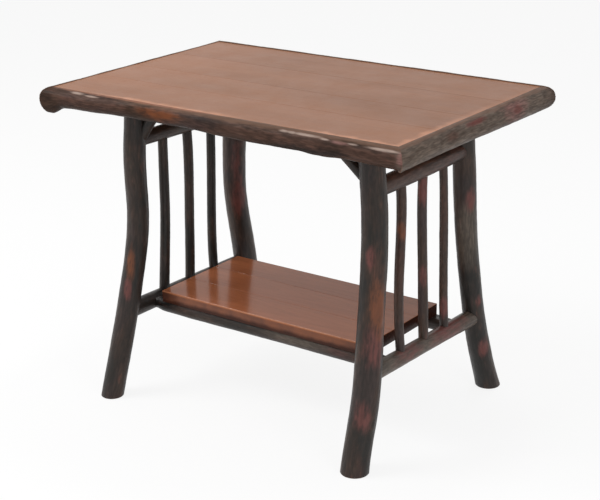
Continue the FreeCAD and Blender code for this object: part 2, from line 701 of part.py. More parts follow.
shelf_room = box("shelf_room", f"{SHELF_LENGTH} + 2 * end_gap", SHELF_WIDTH, "shelf_thickness",
                 f"-{SHELF_LENGTH} / 2 - end_gap", f"-{SHELF_WIDTH} / 2", SHELF_UNDERSIDE)

for place_name in STRETCHER_PLACES:
    name = f"shelf_stretcher_{place_name}"
    left = stretcher_end("left", place_name)
    right = stretcher_end("right", place_name)
    neck_end = "(rail_width / 2 + stretcher_neck)"
    body_left = f"({left[0]} + {neck_end})"
    body_right = f"({right[0]} - {neck_end})"
    rings = []
    widths = STRETCHER_WIDTH_SHARES[name]
    for number, (share, width_share) in enumerate(zip(STRETCHER_STATION_SHARES, widths)):
        x = between(body_left, body_right, share)
        rings.append(circle(f"{name}_ring_{number}", f"stretcher_width / 2 * {width_share}",
                            x, left[1], left[2], STRETCHER_SEAM))
    solids = [loft(f"{name}_pole", rings)]
    for end, point, width_share in (("left", left, widths[0]), ("right", right, widths[-1])):
        neck = bind(document.addObject("Part::Cone", f"{name}_{end}_neck"),
                    Radius1=f"stretcher_width / 2 * {NECK_SHARE}",
                    Radius2=f"stretcher_width / 2 * {width_share}", Height=neck_end)
        solids.append(place(neck, *point, TURNS["x"][-ENDS[end]]))
    barrel = cut(f"{name}_barrel", joined(f"{name}_round", solids),
                 [rail_scribes["lower", "left"], rail_scribes["lower", "right"]])
    tenons = []
    for end, point in (("left", left), ("right", right)):
        along = ENDS[end]
        start = f"{point[0]} + {along} * stretcher_tenon_reach"
        tenons.append(cylinder(f"{name}_{end}_tenon", "stretcher_tenon_width / 2",
                               "stretcher_tenon_reach + rail_width / 2 + overrun",
                               start, point[1], point[2], TURNS["x"][-along]))
    hand_over(name, joined(f"{name}_shaped", [barrel, *tenons]), [shelf_room])


# Shelf boards, on the stretchers

for number, name in enumerate(SHELF_BOARDS):
    body = board(name, f"-{SHELF_LENGTH} / 2", f"{SHELF_LENGTH} / 2", SHELF_SEAMS[number],
                 SHELF_SEAMS[number + 1], SHELF_UNDERSIDE, "shelf_thickness")
    hand_over(name, body)


# Braces, from each leg up and in to the underside of the top

top_room = box("top_room", "field_length", "field_width", "board_thickness + 2 * overrun",
               "-field_length / 2", "-field_width / 2", UNDERSIDE)

for leg, (along, across) in LEGS.items():
    name = f"brace_{leg}"
    x, y, z, run, true_length = brace_line(leg)
    pole = cylinder(f"{name}_pole", "brace_width / 2", f"{true_length} + overrun", x, y, z,
                    Rotation(Vector(0, -along, 0), 45))
    pole.setExpression("Placement.Rotation.Angle", sheet_formula(f"atan({run} / brace_drop)"))
    end = leg.split("_")[1]
    hand_over(name, pole, [leg_scribes[leg], rail_scribes["upper", end], top_room])


# Nails and screws: each kind is one group of separate solids

for group, members in fasteners.items():
    bundle = document.addObject("Part::Compound", group)
    bundle.Links = members
    bundle.Label = group
    pieces[group] = bundle


# Work everything out, test it, and write one file for each piece

document.recompute()
for thing in document.Objects:
    faults = {"Invalid", "Error"} & set(thing.State)
    if faults:
        raise RuntimeError(f"{thing.Name} did not work out: {sorted(faults)}")
for name, piece in pieces.items():
    if piece.Shape.isNull() or not piece.Shape.isValid() or not piece.Shape.Solids:
        raise RuntimeError(f"{name} is not a sound solid")

os.makedirs("parts", exist_ok=True)
for name, piece in pieces.items():
    piece.Shape.exportStep(f"parts/{name}.step")
    print(name, len(piece.Shape.Solids), round(piece.Shape.Volume))
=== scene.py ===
# %% [markdown]
# # A rustic hickory table
#
# This lesson dresses the solid model of a small hickory table: a board top edged with
# half-round saplings, four legs bent out at the foot, two rails and three spindles at each
# end, a board shelf on two round stretchers, and a brace at each leg. The boards, the
# battens and the fasteners keep the shape of the solid model and only get a finish.
# Everything that still wears its bark is made again here, because bark is what the eye goes
# to and a smooth solid cannot show it.

# %% Load the solid model
import math

import bpy
import numpy as np
from mathutils import Matrix, Vector, geometry


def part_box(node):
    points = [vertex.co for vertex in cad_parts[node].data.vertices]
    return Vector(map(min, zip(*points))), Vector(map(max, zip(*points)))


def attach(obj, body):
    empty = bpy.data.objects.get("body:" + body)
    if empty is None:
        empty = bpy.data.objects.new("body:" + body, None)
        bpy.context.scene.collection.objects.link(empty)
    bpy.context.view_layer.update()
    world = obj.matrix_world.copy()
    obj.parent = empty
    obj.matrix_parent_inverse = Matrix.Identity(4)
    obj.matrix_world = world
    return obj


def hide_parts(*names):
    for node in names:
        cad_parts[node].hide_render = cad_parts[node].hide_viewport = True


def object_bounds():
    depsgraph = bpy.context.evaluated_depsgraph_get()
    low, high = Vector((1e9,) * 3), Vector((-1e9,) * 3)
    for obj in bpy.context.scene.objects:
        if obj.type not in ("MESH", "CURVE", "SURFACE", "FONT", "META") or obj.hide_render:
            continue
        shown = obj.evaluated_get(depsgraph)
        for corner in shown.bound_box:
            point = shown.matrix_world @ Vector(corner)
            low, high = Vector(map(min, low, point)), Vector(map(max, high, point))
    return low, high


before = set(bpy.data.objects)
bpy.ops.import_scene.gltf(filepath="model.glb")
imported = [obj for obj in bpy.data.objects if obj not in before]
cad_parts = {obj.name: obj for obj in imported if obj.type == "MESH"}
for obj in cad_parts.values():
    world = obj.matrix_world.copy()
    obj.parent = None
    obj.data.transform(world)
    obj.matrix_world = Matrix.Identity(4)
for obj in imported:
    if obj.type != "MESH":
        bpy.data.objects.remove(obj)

SOLID_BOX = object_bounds()
print("solid model", [round(side, 4) for corner in SOLID_BOX for side in corner])

# %% [markdown]
# ## A bench for node trees
#
# A finish and a shape rule are both sums on sockets. A Wire is one output socket that can
# be added, multiplied and compared as a number in Python, and a Bench is the tree that the
# nodes go into. With these two, `1 - mask * wear` builds its own Math nodes.

# %% Wires and the bench
class Wire:
    """One output socket, usable in sums."""

    def __init__(self, bench, socket):
        self.bench = bench
        self.socket = socket

    def math(self, operation, *others):
        return self.bench.math(operation, self, *others)

    def __add__(self, other):
        return self.math("ADD", other)

    __radd__ = __add__

    def __mul__(self, other):
        return self.math("MULTIPLY", other)

    __rmul__ = __mul__

    def __sub__(self, other):
        return self.math("SUBTRACT", other)

    def __rsub__(self, other):
        return self.bench.math("SUBTRACT", other, self)

    def __truediv__(self, other):
        return self.math("DIVIDE", other)

    def __rtruediv__(self, other):
        return self.bench.math("DIVIDE", other, self)

    def __pow__(self, other):
        return self.math("POWER", other)

    def least(self, other):
        return self.math("MINIMUM", other)

    def most(self, other):
        return self.math("MAXIMUM", other)

    def size(self):
        return self.math("ABSOLUTE")

    def smooth(self, low, high):
        """0 below low, 1 above high, and an S curve between."""
        return self.bench.node(
            "ShaderNodeMapRange", {"interpolation_type": "SMOOTHSTEP", "clamp": True},
            {"Value": self, "From Min": low, "From Max": high})["Result"]


class Bench:
    """A node tree under construction."""

    def __init__(self, tree):
        self.tree = tree

    def node(self, kind, settings=None, inputs=None):
        """Add a node: its settings first, then a value or a wire for each socket."""
        node = self.tree.nodes.new(kind)
        for name, value in (settings or {}).items():
            setattr(node, name, value)
        for name, value in (inputs or {}).items():
            socket = node.inputs[name] if isinstance(name, int) else next(
                socket for socket in node.inputs if socket.name == name and socket.enabled)
            if isinstance(value, Wire):
                self.tree.links.new(value.socket, socket)
            else:
                socket.default_value = value
        return {output.name: Wire(self, output) for output in node.outputs if output.enabled}

    def math(self, operation, *values):
        outputs = self.node("ShaderNodeMath", {"operation": operation}, dict(enumerate(values)))
        return outputs["Value"]

    def vector_math(self, operation, *values):
        outputs = self.node("ShaderNodeVectorMath", {"operation": operation},
                            dict(enumerate(values)))
        return outputs["Vector"]

    def split(self, vector):
        """The X, Y and Z of a vector."""
        return self.node("ShaderNodeSeparateXYZ", None, {"Vector": vector}).values()

    def join(self, x, y, z):
        """A vector from its X, Y and Z."""
        return self.node("ShaderNodeCombineXYZ", None, {"X": x, "Y": y, "Z": z})["Vector"]

    def noise(self, place, stretch, detail=3, roughness=0.5):
        """Soft noise from 0 to 1, with its own number of lumps for each metre along each axis."""
        scaled = self.vector_math("MULTIPLY", place, stretch)
        return self.node("ShaderNodeTexNoise", {"noise_dimensions": "3D"}, {
            "Vector": scaled, "Scale": 1, "Detail": detail, "Roughness": roughness})["Fac"]


print("bench ready")

# %% [markdown]
# ## The camera comes first
#
# Marks on the bark are placed by where they are seen, so the camera has to be known before
# the first pole is made. Its place and lens were worked out from the corners of the top and
# the feet. The picture is 600 by 500.

# %% Camera
PICTURE_WIDTH, PICTURE_HEIGHT = 600, 500
CAMERA_PLACE = Vector((1.869, -2.605, 1.487))
CAMERA_AZIMUTH = math.radians(35.55)
CAMERA_PITCH = math.radians(19.5)
CAMERA_ROLL = math.radians(-0.5)
SENSOR_WIDTH = 36
LENS_LENGTH = 88.62


def new_object(name, data):
    """A new object, put in the scene."""
    item = bpy.data.objects.new(name, data)
    bpy.context.scene.collection.objects.link(item)
    return item


camera = new_object("camera", bpy.data.cameras.new("camera"))
camera.data.lens = LENS_LENGTH
camera.data.sensor_width = SENSOR_WIDTH
camera.data.sensor_fit = "HORIZONTAL"
forward = Vector((-math.sin(CAMERA_AZIMUTH) * math.cos(CAMERA_PITCH),
                  math.cos(CAMERA_AZIMUTH) * math.cos(CAMERA_PITCH), -math.sin(CAMERA_PITCH)))
level_right = Vector((math.cos(CAMERA_AZIMUTH), math.sin(CAMERA_AZIMUTH), 0))
level_up = level_right.cross(forward)
camera_right = level_right * math.cos(CAMERA_ROLL) + level_up * math.sin(CAMERA_ROLL)
camera_up = camera_right.cross(forward)
turn = Matrix((camera_right, camera_up, -forward)).transposed()
camera.matrix_world = Matrix.Translation(CAMERA_PLACE) @ turn.to_4x4()
bpy.context.scene.camera = camera


def seen_at(points):
    """Where points are seen in the picture, in pixels, and how far away they are."""
    towards = points - np.array(CAMERA_PLACE)
    depth = towards @ np.array(forward)
    scale = LENS_LENGTH / SENSOR_WIDTH * PICTURE_WIDTH / depth
    x = PICTURE_WIDTH / 2 + towards @ np.array(camera_right) * scale
    y = PICTURE_HEIGHT / 2 - towards @ np.array(camera_up) * scale
    return x, y, depth


print("camera", [round(value, 3) for value in camera.location], "lens", camera.data.lens)

# %% [markdown]
# ## Reading a pole from the solid model
#
# A hickory pole is never straight or evenly thick. The solid model already holds each
# pole's bends, so they are read from it: the solid is sliced across, and a circle is fitted
# to the outside of each slice. The fit uses only the hull of the slice, so a mortise in the
# pole's side doesn't disturb it.

# %% Slices and circles
def mesh_points(mesh):
    """A mesh's points, as the rows of an array."""
    points = np.empty(len(mesh.vertices) * 3)
    mesh.vertices.foreach_get("co", points)
    return points.reshape(-1, 3)


solid_meshes = {}


def solid_mesh(node):
    """A solid's points and edges as arrays."""
    if node not in solid_meshes:
        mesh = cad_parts[node].data
        edges = np.empty(len(mesh.edges) * 2, dtype=int)
        mesh.edges.foreach_get("vertices", edges)
        solid_meshes[node] = mesh_points(mesh), edges.reshape(-1, 2)
    return solid_meshes[node]


def slice_points(node, centre, axis):
    """The points where a solid's edges cross a plane."""
    points, edges = solid_mesh(node)
    levels = (points - centre) @ axis
    starts, ends = levels[edges[:, 0]], levels[edges[:, 1]]
    crossing = starts * ends < 0
    share = (starts / (starts - ends + (~crossing)))[crossing, None]
    return points[edges[crossing, 0]] * (1 - share) + points[edges[crossing, 1]] * share


def fitted_circle(node, centre, axis, side, rise):
    """Centre and radius of the circle round a solid's slice."""
    cut = slice_points(node, centre, axis)
    flat = np.stack([(cut - centre) @ side, (cut - centre) @ rise], axis=1)
    hull = flat[geometry.convex_hull_2d([Vector(point) for point in flat])]
    sums = np.column_stack([2 * hull, np.ones(len(hull))])
    across, up, rest = np.linalg.lstsq(sums, (hull ** 2).sum(axis=1), rcond=None)[0]
    radius = math.sqrt(rest + across ** 2 + up ** 2)
    return centre + across * side + up * rise, radius


def eased(places, values, wanted):
    """Values read off a smooth curve through measured ones."""
    slopes = np.gradient(values, places, axis=0)
    index = np.clip(np.searchsorted(places, wanted) - 1, 0, len(places) - 2)
    step = places[index + 1] - places[index]
    share = ((wanted - places[index]) / step)[:, None]
    step = step[:, None]
    start, end = values[index], values[index + 1]
    return (start * (1 + 2 * share) * (1 - share) ** 2
            + slopes[index] * step * share * (1 - share) ** 2
            + end * (3 - 2 * share) * share ** 2
            + slopes[index + 1] * step * (share - 1) * share ** 2)


print("solids", len(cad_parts))

# %% [markdown]
# ## The relief of the bark
#
# Hickory bark has broad lumps, fine furrows that run along the pole, and a knot here and
# there where a twig was cut. All three are patterns in space, so they need no unwrapping. A
# stretch is how many lumps of a pattern fit in a metre, a band is where it fades in, and a
# share is how much it raises the bark. Bark of the usual height is level with the solid, so
# the relief goes out as well as in.

# %% Bark relief
LUMP_STRETCH, LUMP_BAND = (13, 13, 9), (0.28, 0.72)
FURROWS_ALONG, RIDGE_BAND = 0.11, (0, 0.16)
KNOT_STRETCH, KNOT_BAND, KNOT_OVER = (23, 23, 12), (0.02, 0.3), 0.66
LUMPS_SHARE, FURROW_SHARE, KNOT_SHARE = 0.5, 0.26, 0.6
USUAL_HEIGHT = 0.4


def bark_relief(bench, grain, furrow_width):
    """The height of the bark from 0 to 1, and its ridges and knots alone."""
    lumps = bench.noise(grain, LUMP_STRETCH, detail=1).smooth(*LUMP_BAND)
    across = 1 / furrow_width
    stretch = bench.join(across, across, across * FURROWS_ALONG)
    ridge = (bench.noise(grain, stretch, detail=2) - 0.5).size().smooth(*RIDGE_BAND)
    cells = bench.node("ShaderNodeTexVoronoi", {"voronoi_dimensions": "3D"}, {
        "Vector": bench.vector_math("MULTIPLY", grain, KNOT_STRETCH),
        "Scale": 1, "Randomness": 1})
    number_of_cell = cells["Color"] * 1
    chosen = number_of_cell.math("GREATER_THAN", KNOT_OVER)
    knot = (1 - cells["Distance"].smooth(*KNOT_BAND)) * chosen
    height = (lumps * LUMPS_SHARE + ridge * FURROW_SHARE + knot * KNOT_SHARE).least(1)
    return height, ridge, knot


print("relief: lumps", LUMPS_SHARE, "furrows", FURROW_SHARE, "knots", KNOT_SHARE)

# %% [markdown]
# ## The rule for a pole
#
# A pole is a stack of rings on a bent line. The node tree below takes one point for each
# ring, rolls a grid round them, and raises the bark. The same rule makes the edging, which
# is a pole sawn in half and mitred: the sawn side is flattened, and each ring slants more
# towards the mitre. The rolled grid has its faces inwards, so they are flipped.

# %% The pole tree
POLE_INPUTS = (
    ("Rings", "NodeSocketGeometry", None),
    ("Outward", "NodeSocketVector", (1, 0, 0)),
    ("Rise", "NodeSocketVector", (0, 1, 0)),
    ("Run", "NodeSocketVector", (0, 0, 1)),
    ("Around", "NodeSocketInt", 48),
    ("Sawn at", "NodeSocketFloat", -1.0),
    ("Level limit", "NodeSocketFloat", 10.0),
    ("Relief", "NodeSocketFloat", 0.0015),
    ("Furrow width", "NodeSocketFloat", 0.004),
    ("Pattern start", "NodeSocketFloat", 0.0),
    ("Bark", "NodeSocketMaterial", None),
    ("Cut wood", "NodeSocketMaterial", None),
)
MERGE_DISTANCE = 1e-6
ROW_NUDGE = 1e-4
FULL_TURN = 2 * math.pi


def wrapped(bench, shape, place, given):
    """Move the grid's points to their places, and make it a closed pole with its materials."""
    cut_faces = bench.node("GeometryNodeInputNamedAttribute", {"data_type": "BOOLEAN"},
                           {"Name": "cut_face"})["Attribute"]
    for kind, inputs in (
            ("GeometryNodeSetPosition", {"Position": place}),
            ("GeometryNodeMergeByDistance", {"Distance": MERGE_DISTANCE}),
            ("GeometryNodeFlipFaces", {}),
            ("GeometryNodeSetShadeSmooth", {}),
            ("GeometryNodeRealizeInstances", {}),
            ("GeometryNodeSetMaterial", {"Material": given["Bark"]}),
            ("GeometryNodeSetMaterial", {
                "Selection": cut_faces, "Material": given["Cut wood"]})):
        shape, = bench.node(kind, None, {0: shape, **inputs}).values()
    return shape


def make_pole_tree():
    """Build the tree that makes a pole of rings."""
    tree = bpy.data.node_groups.new("bark_pole", "GeometryNodeTree")
    for name, kind, value in POLE_INPUTS:
        socket = tree.interface.new_socket(name, in_out="INPUT", socket_type=kind)
        if value is not None:
            socket.default_value = value
    tree.interface.new_socket("Pole", in_out="OUTPUT", socket_type="NodeSocketGeometry")
    bench = Bench(tree)
    given = bench.node("NodeGroupInput")
    rings, around, sawn_at = given["Rings"], given["Around"], given["Sawn at"]
    index = bench.node("GeometryNodeInputIndex")["Index"]

    def of_ring(name, row, kind="FLOAT"):
        """A value that each ring carries, read for a row of the grid."""
        value = bench.node("GeometryNodeInputNamedAttribute", {"data_type": kind},
                           {"Name": name})["Attribute"]
        return bench.node("GeometryNodeSampleIndex", {"data_type": kind},
                          {"Geometry": rings, "Value": value, "Index": row})["Value"]

    count = bench.node("GeometryNodeAttributeDomainSize", None, {"Geometry": rings})
    shape = bench.node("GeometryNodeMeshGrid", None, {
        "Vertices X": count["Point Count"], "Vertices Y": around + 1})["Mesh"]

    row = (index / (around + 1) + ROW_NUDGE).math("FLOOR")
    angle = (index - row * (around + 1)) / around * FULL_TURN
    outward, rise = angle.math("COSINE").most(sawn_at), angle.math("SINE")
    girth = of_ring("girth", row)
    barked = of_ring("barked", row)
    along = of_ring("along", row) + given["Pattern start"]
    grain = bench.join(outward * girth, rise * girth, along)
    height, ridge, knot = bark_relief(bench, grain, given["Furrow width"])
    radius = girth + given["Relief"] * barked * (height - USUAL_HEIGHT)

    out_offset, rise_offset = outward * radius, rise * radius
    out_slant, rise_slant, _ = bench.split(of_ring("slant", row, "FLOAT_VECTOR"))
    run_offset = out_offset * out_slant + rise_offset * rise_slant
    place = of_ring("position", row, "FLOAT_VECTOR")
    for direction, offset in (
            ("Outward", out_offset), ("Rise", rise_offset), ("Run", run_offset)):
        move = bench.vector_math("MULTIPLY", given[direction], offset)
        place = bench.vector_math("ADD", place, move)
    x, y, z = bench.split(place)
    place = bench.join(x, y, z.least(given["Level limit"]))

    face_row = (index / around + ROW_NUDGE).math("FLOOR")
    face_angle = (index - face_row * around + 0.5) / around * FULL_TURN
    sawn_side = (face_angle.math("COSINE") * -1).math("GREATER_THAN", 0) * (sawn_at + 1)
    both_barked = of_ring("barked", face_row).least(of_ring("barked", face_row + 1))
    cut_face = sawn_side.most(1 - both_barked).math("GREATER_THAN", 0.5)
    for name, kind, domain, value in (
            ("grain", "FLOAT_VECTOR", "POINT", grain), ("ridge", "FLOAT", "POINT", ridge),
            ("knot", "FLOAT", "POINT", knot), ("cut_face", "BOOLEAN", "FACE", cut_face)):
        shape = bench.node(
            "GeometryNodeStoreNamedAttribute", {"data_type": kind, "domain": domain},
            {"Geometry": shape, "Name": name, "Value": value})["Geometry"]
    bench.node("NodeGroupOutput", None, {"Pole": wrapped(bench, shape, place, given)})
    return tree


pole_tree = make_pole_tree()
print("pole tree", len(pole_tree.nodes), "nodes")

# %% [markdown]
# ## From rings to a pole
#
# Each ring is one loose point that carries its radius, its place along the pole, its slant
# and whether it wears bark. The tenons are bare rings of their own radius at the ends. The
# tree's result is copied to a plain mesh, and edges sharper than 50 degrees stay sharp.

# %% Making one pole
X, Y, Z = np.eye(3)
SLICE_STEP = 0.012
SHARP_ANGLE = math.radians(50)
bark = bpy.data.materials.new("bark")
edging_bark = bpy.data.materials.new("edging_bark")
cut_wood = bpy.data.materials.new("cut_wood")


def node_ends(node, axis):
    """Lowest and highest place of a solid along an axis."""
    levels = solid_mesh(node)[0] @ axis
    return levels.min(), levels.max()


def measured_line(node, run, side, rise, first, last):
    """Centres and radii of a solid at even places from first to last."""
    places = np.linspace(first, last, max(3, round((last - first) / SLICE_STEP) + 1))
    circles = [fitted_circle(node, run * place, run, side, rise) for place in places]
    return places, np.array([[*centre, radius] for centre, radius in circles])


def eased_line(places, line, wanted):
    """Centres and radii anywhere on a measured line, carried on straight past its ends."""
    inside = np.clip(wanted, places[0], places[-1])
    slopes = np.gradient(line, places, axis=0)
    past = (wanted - inside)[:, None]
    drift = np.where(past < 0, slopes[0], slopes[-1]) * past
    drift[:, 3] = 0
    return eased(places, line, inside) + drift


def keep_inside(mesh):
    """Press the few ridges that would leave the solid model's box back to it."""
    inside = np.clip(mesh_points(mesh), *SOLID_BOX)
    mesh.vertices.foreach_set("co", inside.ravel())


def store(mesh, name, values):
    """Give each point of a mesh a number, or a vector where values has rows of three."""
    kind, field = ("FLOAT", "value") if values.ndim == 1 else ("FLOAT_VECTOR", "vector")
    mesh.attributes.new(name, kind, "POINT").data.foreach_set(field, values.ravel())


def pole(name, places, line, directions, settings, barked, slants=None):
    """Roll the pole tree round a stack of rings and keep the result as a plain mesh."""
    mesh = bpy.data.meshes.new(f"{name}_rings")
    mesh.from_pydata(line[:, :3].tolist(), [], [])
    for key, values in (("girth", line[:, 3]), ("along", places), ("barked", barked),
                        ("slant", np.zeros((len(places), 3)) if slants is None else slants)):
        store(mesh, key, values)
    maker = new_object(f"{name}_maker", mesh)
    modifier = maker.modifiers.new("pole", "NODES")
    modifier.node_group = pole_tree
    inputs = {item.name: item.identifier for item in pole_tree.interface.items_tree
              if item.in_out == "INPUT"}
    given = {"Bark": bark, "Cut wood": cut_wood, **settings,
             **dict(zip(("Outward", "Rise", "Run"), directions))}
    for key, value in given.items():
        modifier[inputs[key]] = value.tolist() if isinstance(value, np.ndarray) else value
    graph = bpy.context.evaluated_depsgraph_get()
    shape = bpy.data.meshes.new_from_object(maker.evaluated_get(graph))
    bpy.data.objects.remove(maker)
    bpy.data.meshes.remove(mesh)
    shape.name = name
    keep_inside(shape)
    shape.set_sharp_from_angle(angle=SHARP_ANGLE)
    return new_object(name, shape)


print("pole maker ready")

# %% [markdown]
# ## Legs
#
# A leg is a bent pole, cut square at the foot and at the top, where a turned tenon goes up
# into the batten. Its foot is rounded over a little, as a foot that is dragged wears.

# %% Legs
RING_STEP = 0.003
# Points in a ring, how high the bark stands, and how wide its furrows are.
POLE_KINDS = {"leg": (72, 0.0016, 0.0046), "rail": (56, 0.0013, 0.0038),
              "spindle": (36, 0.0008, 0.003), "stretcher": (56, 0.0013, 0.004),
              "brace": (44, 0.001, 0.0035), "edging": (88, 0.0016, 0.0045)}
PATTERN_FIRST, PATTERN_STEP = 0.4, 1.7
LEG_TENON_RADIUS, LEG_MARGIN, FOOT_ROUND = 0.015, 0.002, 0.0016
poles = {}


def steps(first, last):
    """Places for rings, about a ring step apart."""
    return np.linspace(first, last, max(2, round((last - first) / RING_STEP)))


def settings_for(kind, **more):
    """The tree's inputs for a kind of pole. Each pole has its own stretch of the pattern."""
    return {**dict(zip(("Around", "Relief", "Furrow width"), POLE_KINDS[kind])),
            "Pattern start": PATTERN_STEP * len(poles) + PATTERN_FIRST, **more}


def with_ends(places, line, before, after):
    """Add bare rings at both ends: for each, its place and its radius."""
    first, last = line[0], line[-1]
    head = [[*first[:3], radius] for place, radius in before]
    tail = [[*last[:3], radius] for place, radius in after]
    all_places = np.array([place for place, radius in before] + list(places)
                          + [place for place, radius in after])
    barked = np.array([0.0] * len(before) + [1.0] * len(places) + [0.0] * len(after))
    return all_places, np.array(head + line.tolist() + tail), barked


def along_axis(places, line, axis):
    """Put each ring's centre at its own place along the axis."""
    line = line.copy()
    line[:, :3] += np.outer(places - line[:, :3] @ axis, axis)
    return line


def straight_pole(kind, node, axis, side, rise, tenon_radius, shoulder, margin, **more):
    """A pole between two tenons, on an axis of the table."""
    low, high = node_ends(node, axis)
    measured = measured_line(node, axis, side, rise, low + margin, high - margin)
    places = steps(low + shoulder, high - shoulder)
    tenon_in = [(low, 0.0), (low, tenon_radius), (places[0], tenon_radius)]
    tenon_out = [(places[-1], tenon_radius), (high, tenon_radius), (high, 0.0)]
    places, line, barked = with_ends(
        places, eased_line(*measured, places), tenon_in, tenon_out)
    poles[node] = pole(f"{node}_pole", places, along_axis(places, line, axis),
                       (side, rise, axis), settings_for(kind, **more), barked)


for end in ("left", "right"):
    leg_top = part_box(f"top_batten_{end}")[0][2]
    for row in ("front", "back"):
        node = f"leg_{row}_{end}"
        low, high = node_ends(node, Z)
        measured = measured_line(node, Z, X, Y, low + LEG_MARGIN, leg_top - LEG_MARGIN)
        places = steps(low + FOOT_ROUND, leg_top)
        line = eased_line(*measured, places)
        foot_radius = line[0, 3] - FOOT_ROUND
        places, line, barked = with_ends(
            places, line, [(low, 0.0), (low, foot_radius)],
            [(leg_top, LEG_TENON_RADIUS), (high, LEG_TENON_RADIUS), (high, 0.0)])
        poles[node] = pole(f"{node}_pole", places, along_axis(places, line, Z), (X, Y, Z),
                           settings_for("leg"), barked)
        print(node, len(poles[node].data.polygons), "faces")

# %% [markdown]
# ## Rails, spindles and stretchers
#
# These are straight poles with a turned tenon at each end. The bark runs on into the
# neighbour, as a pole that is scribed tight to it does, so no gap shows. A stretcher is
# planed flat where the shelf lies on it, which the tree does with its level limit.

# %% Rails, spindles and stretchers
RAIL_JOINT = {"tenon_radius": 0.012, "shoulder": 0.023, "margin": 0.038}
SPINDLE_JOINT = {"tenon_radius": 0.0065, "shoulder": 0.0115, "margin": 0.02}
STRETCHER_JOINT = {"tenon_radius": 0.009, "shoulder": 0.0172, "margin": 0.024}

for end in ("left", "right"):
    for level in ("upper", "lower"):
        straight_pole("rail", f"{level}_rail_{end}", Y, Z, X, **RAIL_JOINT)
    for row in ("front", "middle", "back"):
        straight_pole("spindle", f"spindle_{end}_{row}", Z, X, Y, **SPINDLE_JOINT)

shelf_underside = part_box("shelf_board_1")[0][2]
for row in ("front", "back"):
    straight_pole("stretcher", f"shelf_stretcher_{row}", X, Y, Z, **STRETCHER_JOINT,
                  **{"Level limit": shelf_underside})
print(len(poles), "poles so far")

# %% [markdown]
# ## Braces
#
# A brace is a short straight pole nailed between a leg and the underside of the top. Its
# direction is read from the middles of two level slices. It starts on the leg's middle line
# and its upper end is cut level, so the rings slant more and more towards that end.

# %% Braces
BRACE_SLICE_SHARES = (0.35, 0.65)
BRACE_FOOT_SPAN = (-0.01, 0.02)
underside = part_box("top_board_1")[0][2]


def slanted(amounts, part):
    """A slant for each ring and for the bare ring at each end, outward (0) or upward (1)."""
    slants = np.zeros((len(amounts) + 2, 3))
    slants[:, part] = np.pad(amounts, 1, mode="edge")
    return slants


for end in ("left", "right"):
    for row in ("front", "back"):
        node = f"brace_{row}_{end}"
        low, high = node_ends(node, Z)
        middles = []
        for share in BRACE_SLICE_SHARES:
            cut = slice_points(node, Z * (low + (high - low) * share), Z)
            middles.append((cut.min(axis=0) + cut.max(axis=0)) / 2)
        run = (middles[1] - middles[0]) / np.linalg.norm(middles[1] - middles[0])
        side = np.cross(Z, run) / np.linalg.norm(np.cross(Z, run))
        rise = np.cross(run, side)
        middle = (middles[0] + middles[1]) / 2
        radius = fitted_circle(node, middle, run, side, rise)[1]
        foot_low, foot_high = (low + offset for offset in BRACE_FOOT_SPAN)
        leg_line = measured_line(f"leg_{row}_{end}", Z, X, Y, foot_low, foot_high)[1]
        start = (leg_line[:, 0].mean() - middle[0]) / run[0]
        finish = (underside - middle[2]) / run[2]
        places = steps(start, finish)
        line = np.column_stack([middle + np.outer(places, run), np.full(len(places), radius)])
        slants = slanted(-rise[2] / run[2] * (places - start) / (finish - start), part=1)
        places, line, barked = with_ends(places, line, [(start, 0.0)], [(finish, 0.0)])
        poles[node] = pole(f"{node}_pole", places, line, (side, rise, run),
                           settings_for("brace"), barked, slants)
print("braces", [poles[name].name for name in poles if name.startswith("brace")])

# %% [markdown]
# ## The edging
#
# The top is framed by saplings sawn down the middle. Their flat side is against the boards,
# their upper edge is about level with them, and their ends are mitred. The sawn half is
# measured only on its round side. No sapling is as even as its solid, so at a few places its
# underside is let down, or drawn up where the drop is below 0.

# %% Edging
EDGE_DIRECTIONS = {"front": (-Y, Z, -X), "back": (Y, Z, X),
                   "left": (-X, Z, Y), "right": (X, Z, -Y)}
# Where the middle of each swell is, how far it reaches, over what it fades, and its drop.
SWELLS = ((-0.466, -0.312, 0.05, 0.036, 0.014), (-0.335, -0.32, 0.11, 0.07, -0.003),
          (-0.15, -0.32, 0.09, 0.06, 0.0055), (0.275, -0.32, 0.055, 0.04, 0.0035),
          (0.475, 0.24, 0.3, 0.2, 0.003))
SWELL_START, SWELL_REACH = 0.012, 0.03
EDGING_MARGIN, EDGING_SLICES = 0.004, 49
FIELD_CORNER = np.array(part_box("top_board_1")[0])
FIELD_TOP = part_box("top_board_1")[1][2]
EDGE_PLACES = {"front": -FIELD_CORNER[1], "back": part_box("top_board_4")[1][1],
               "left": -FIELD_CORNER[0], "right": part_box("top_board_1")[1][0]}
HALF_LENGTHS = {"front": -FIELD_CORNER[0], "back": -FIELD_CORNER[0],
                "left": -FIELD_CORNER[1], "right": -FIELD_CORNER[1]}


def half_circle(node, centre, run, rise):
    """Centre and radius of the half circle that a sawn sapling's slice shows."""
    levels = (slice_points(node, centre, run) - centre) @ rise
    radius = (levels.max() - levels.min()) / 2
    return centre + rise * (levels.max() - radius), radius


def swell(mesh):
    """Let a sapling's underside down, or draw it up, round the middle of each swell."""
    points = mesh_points(mesh)
    below = np.clip((FIELD_TOP - SWELL_START - points[:, 2]) / SWELL_REACH, 0, 1)
    for x, y, reach, fade, drop in SWELLS:
        apart = np.hypot(points[:, 0] - x, points[:, 1] - y)
        near = np.clip((reach - apart) / fade, 0, 1)
        points[:, 2] -= drop * near ** 2 * (3 - 2 * near) * below
    mesh.vertices.foreach_set("co", points.ravel())


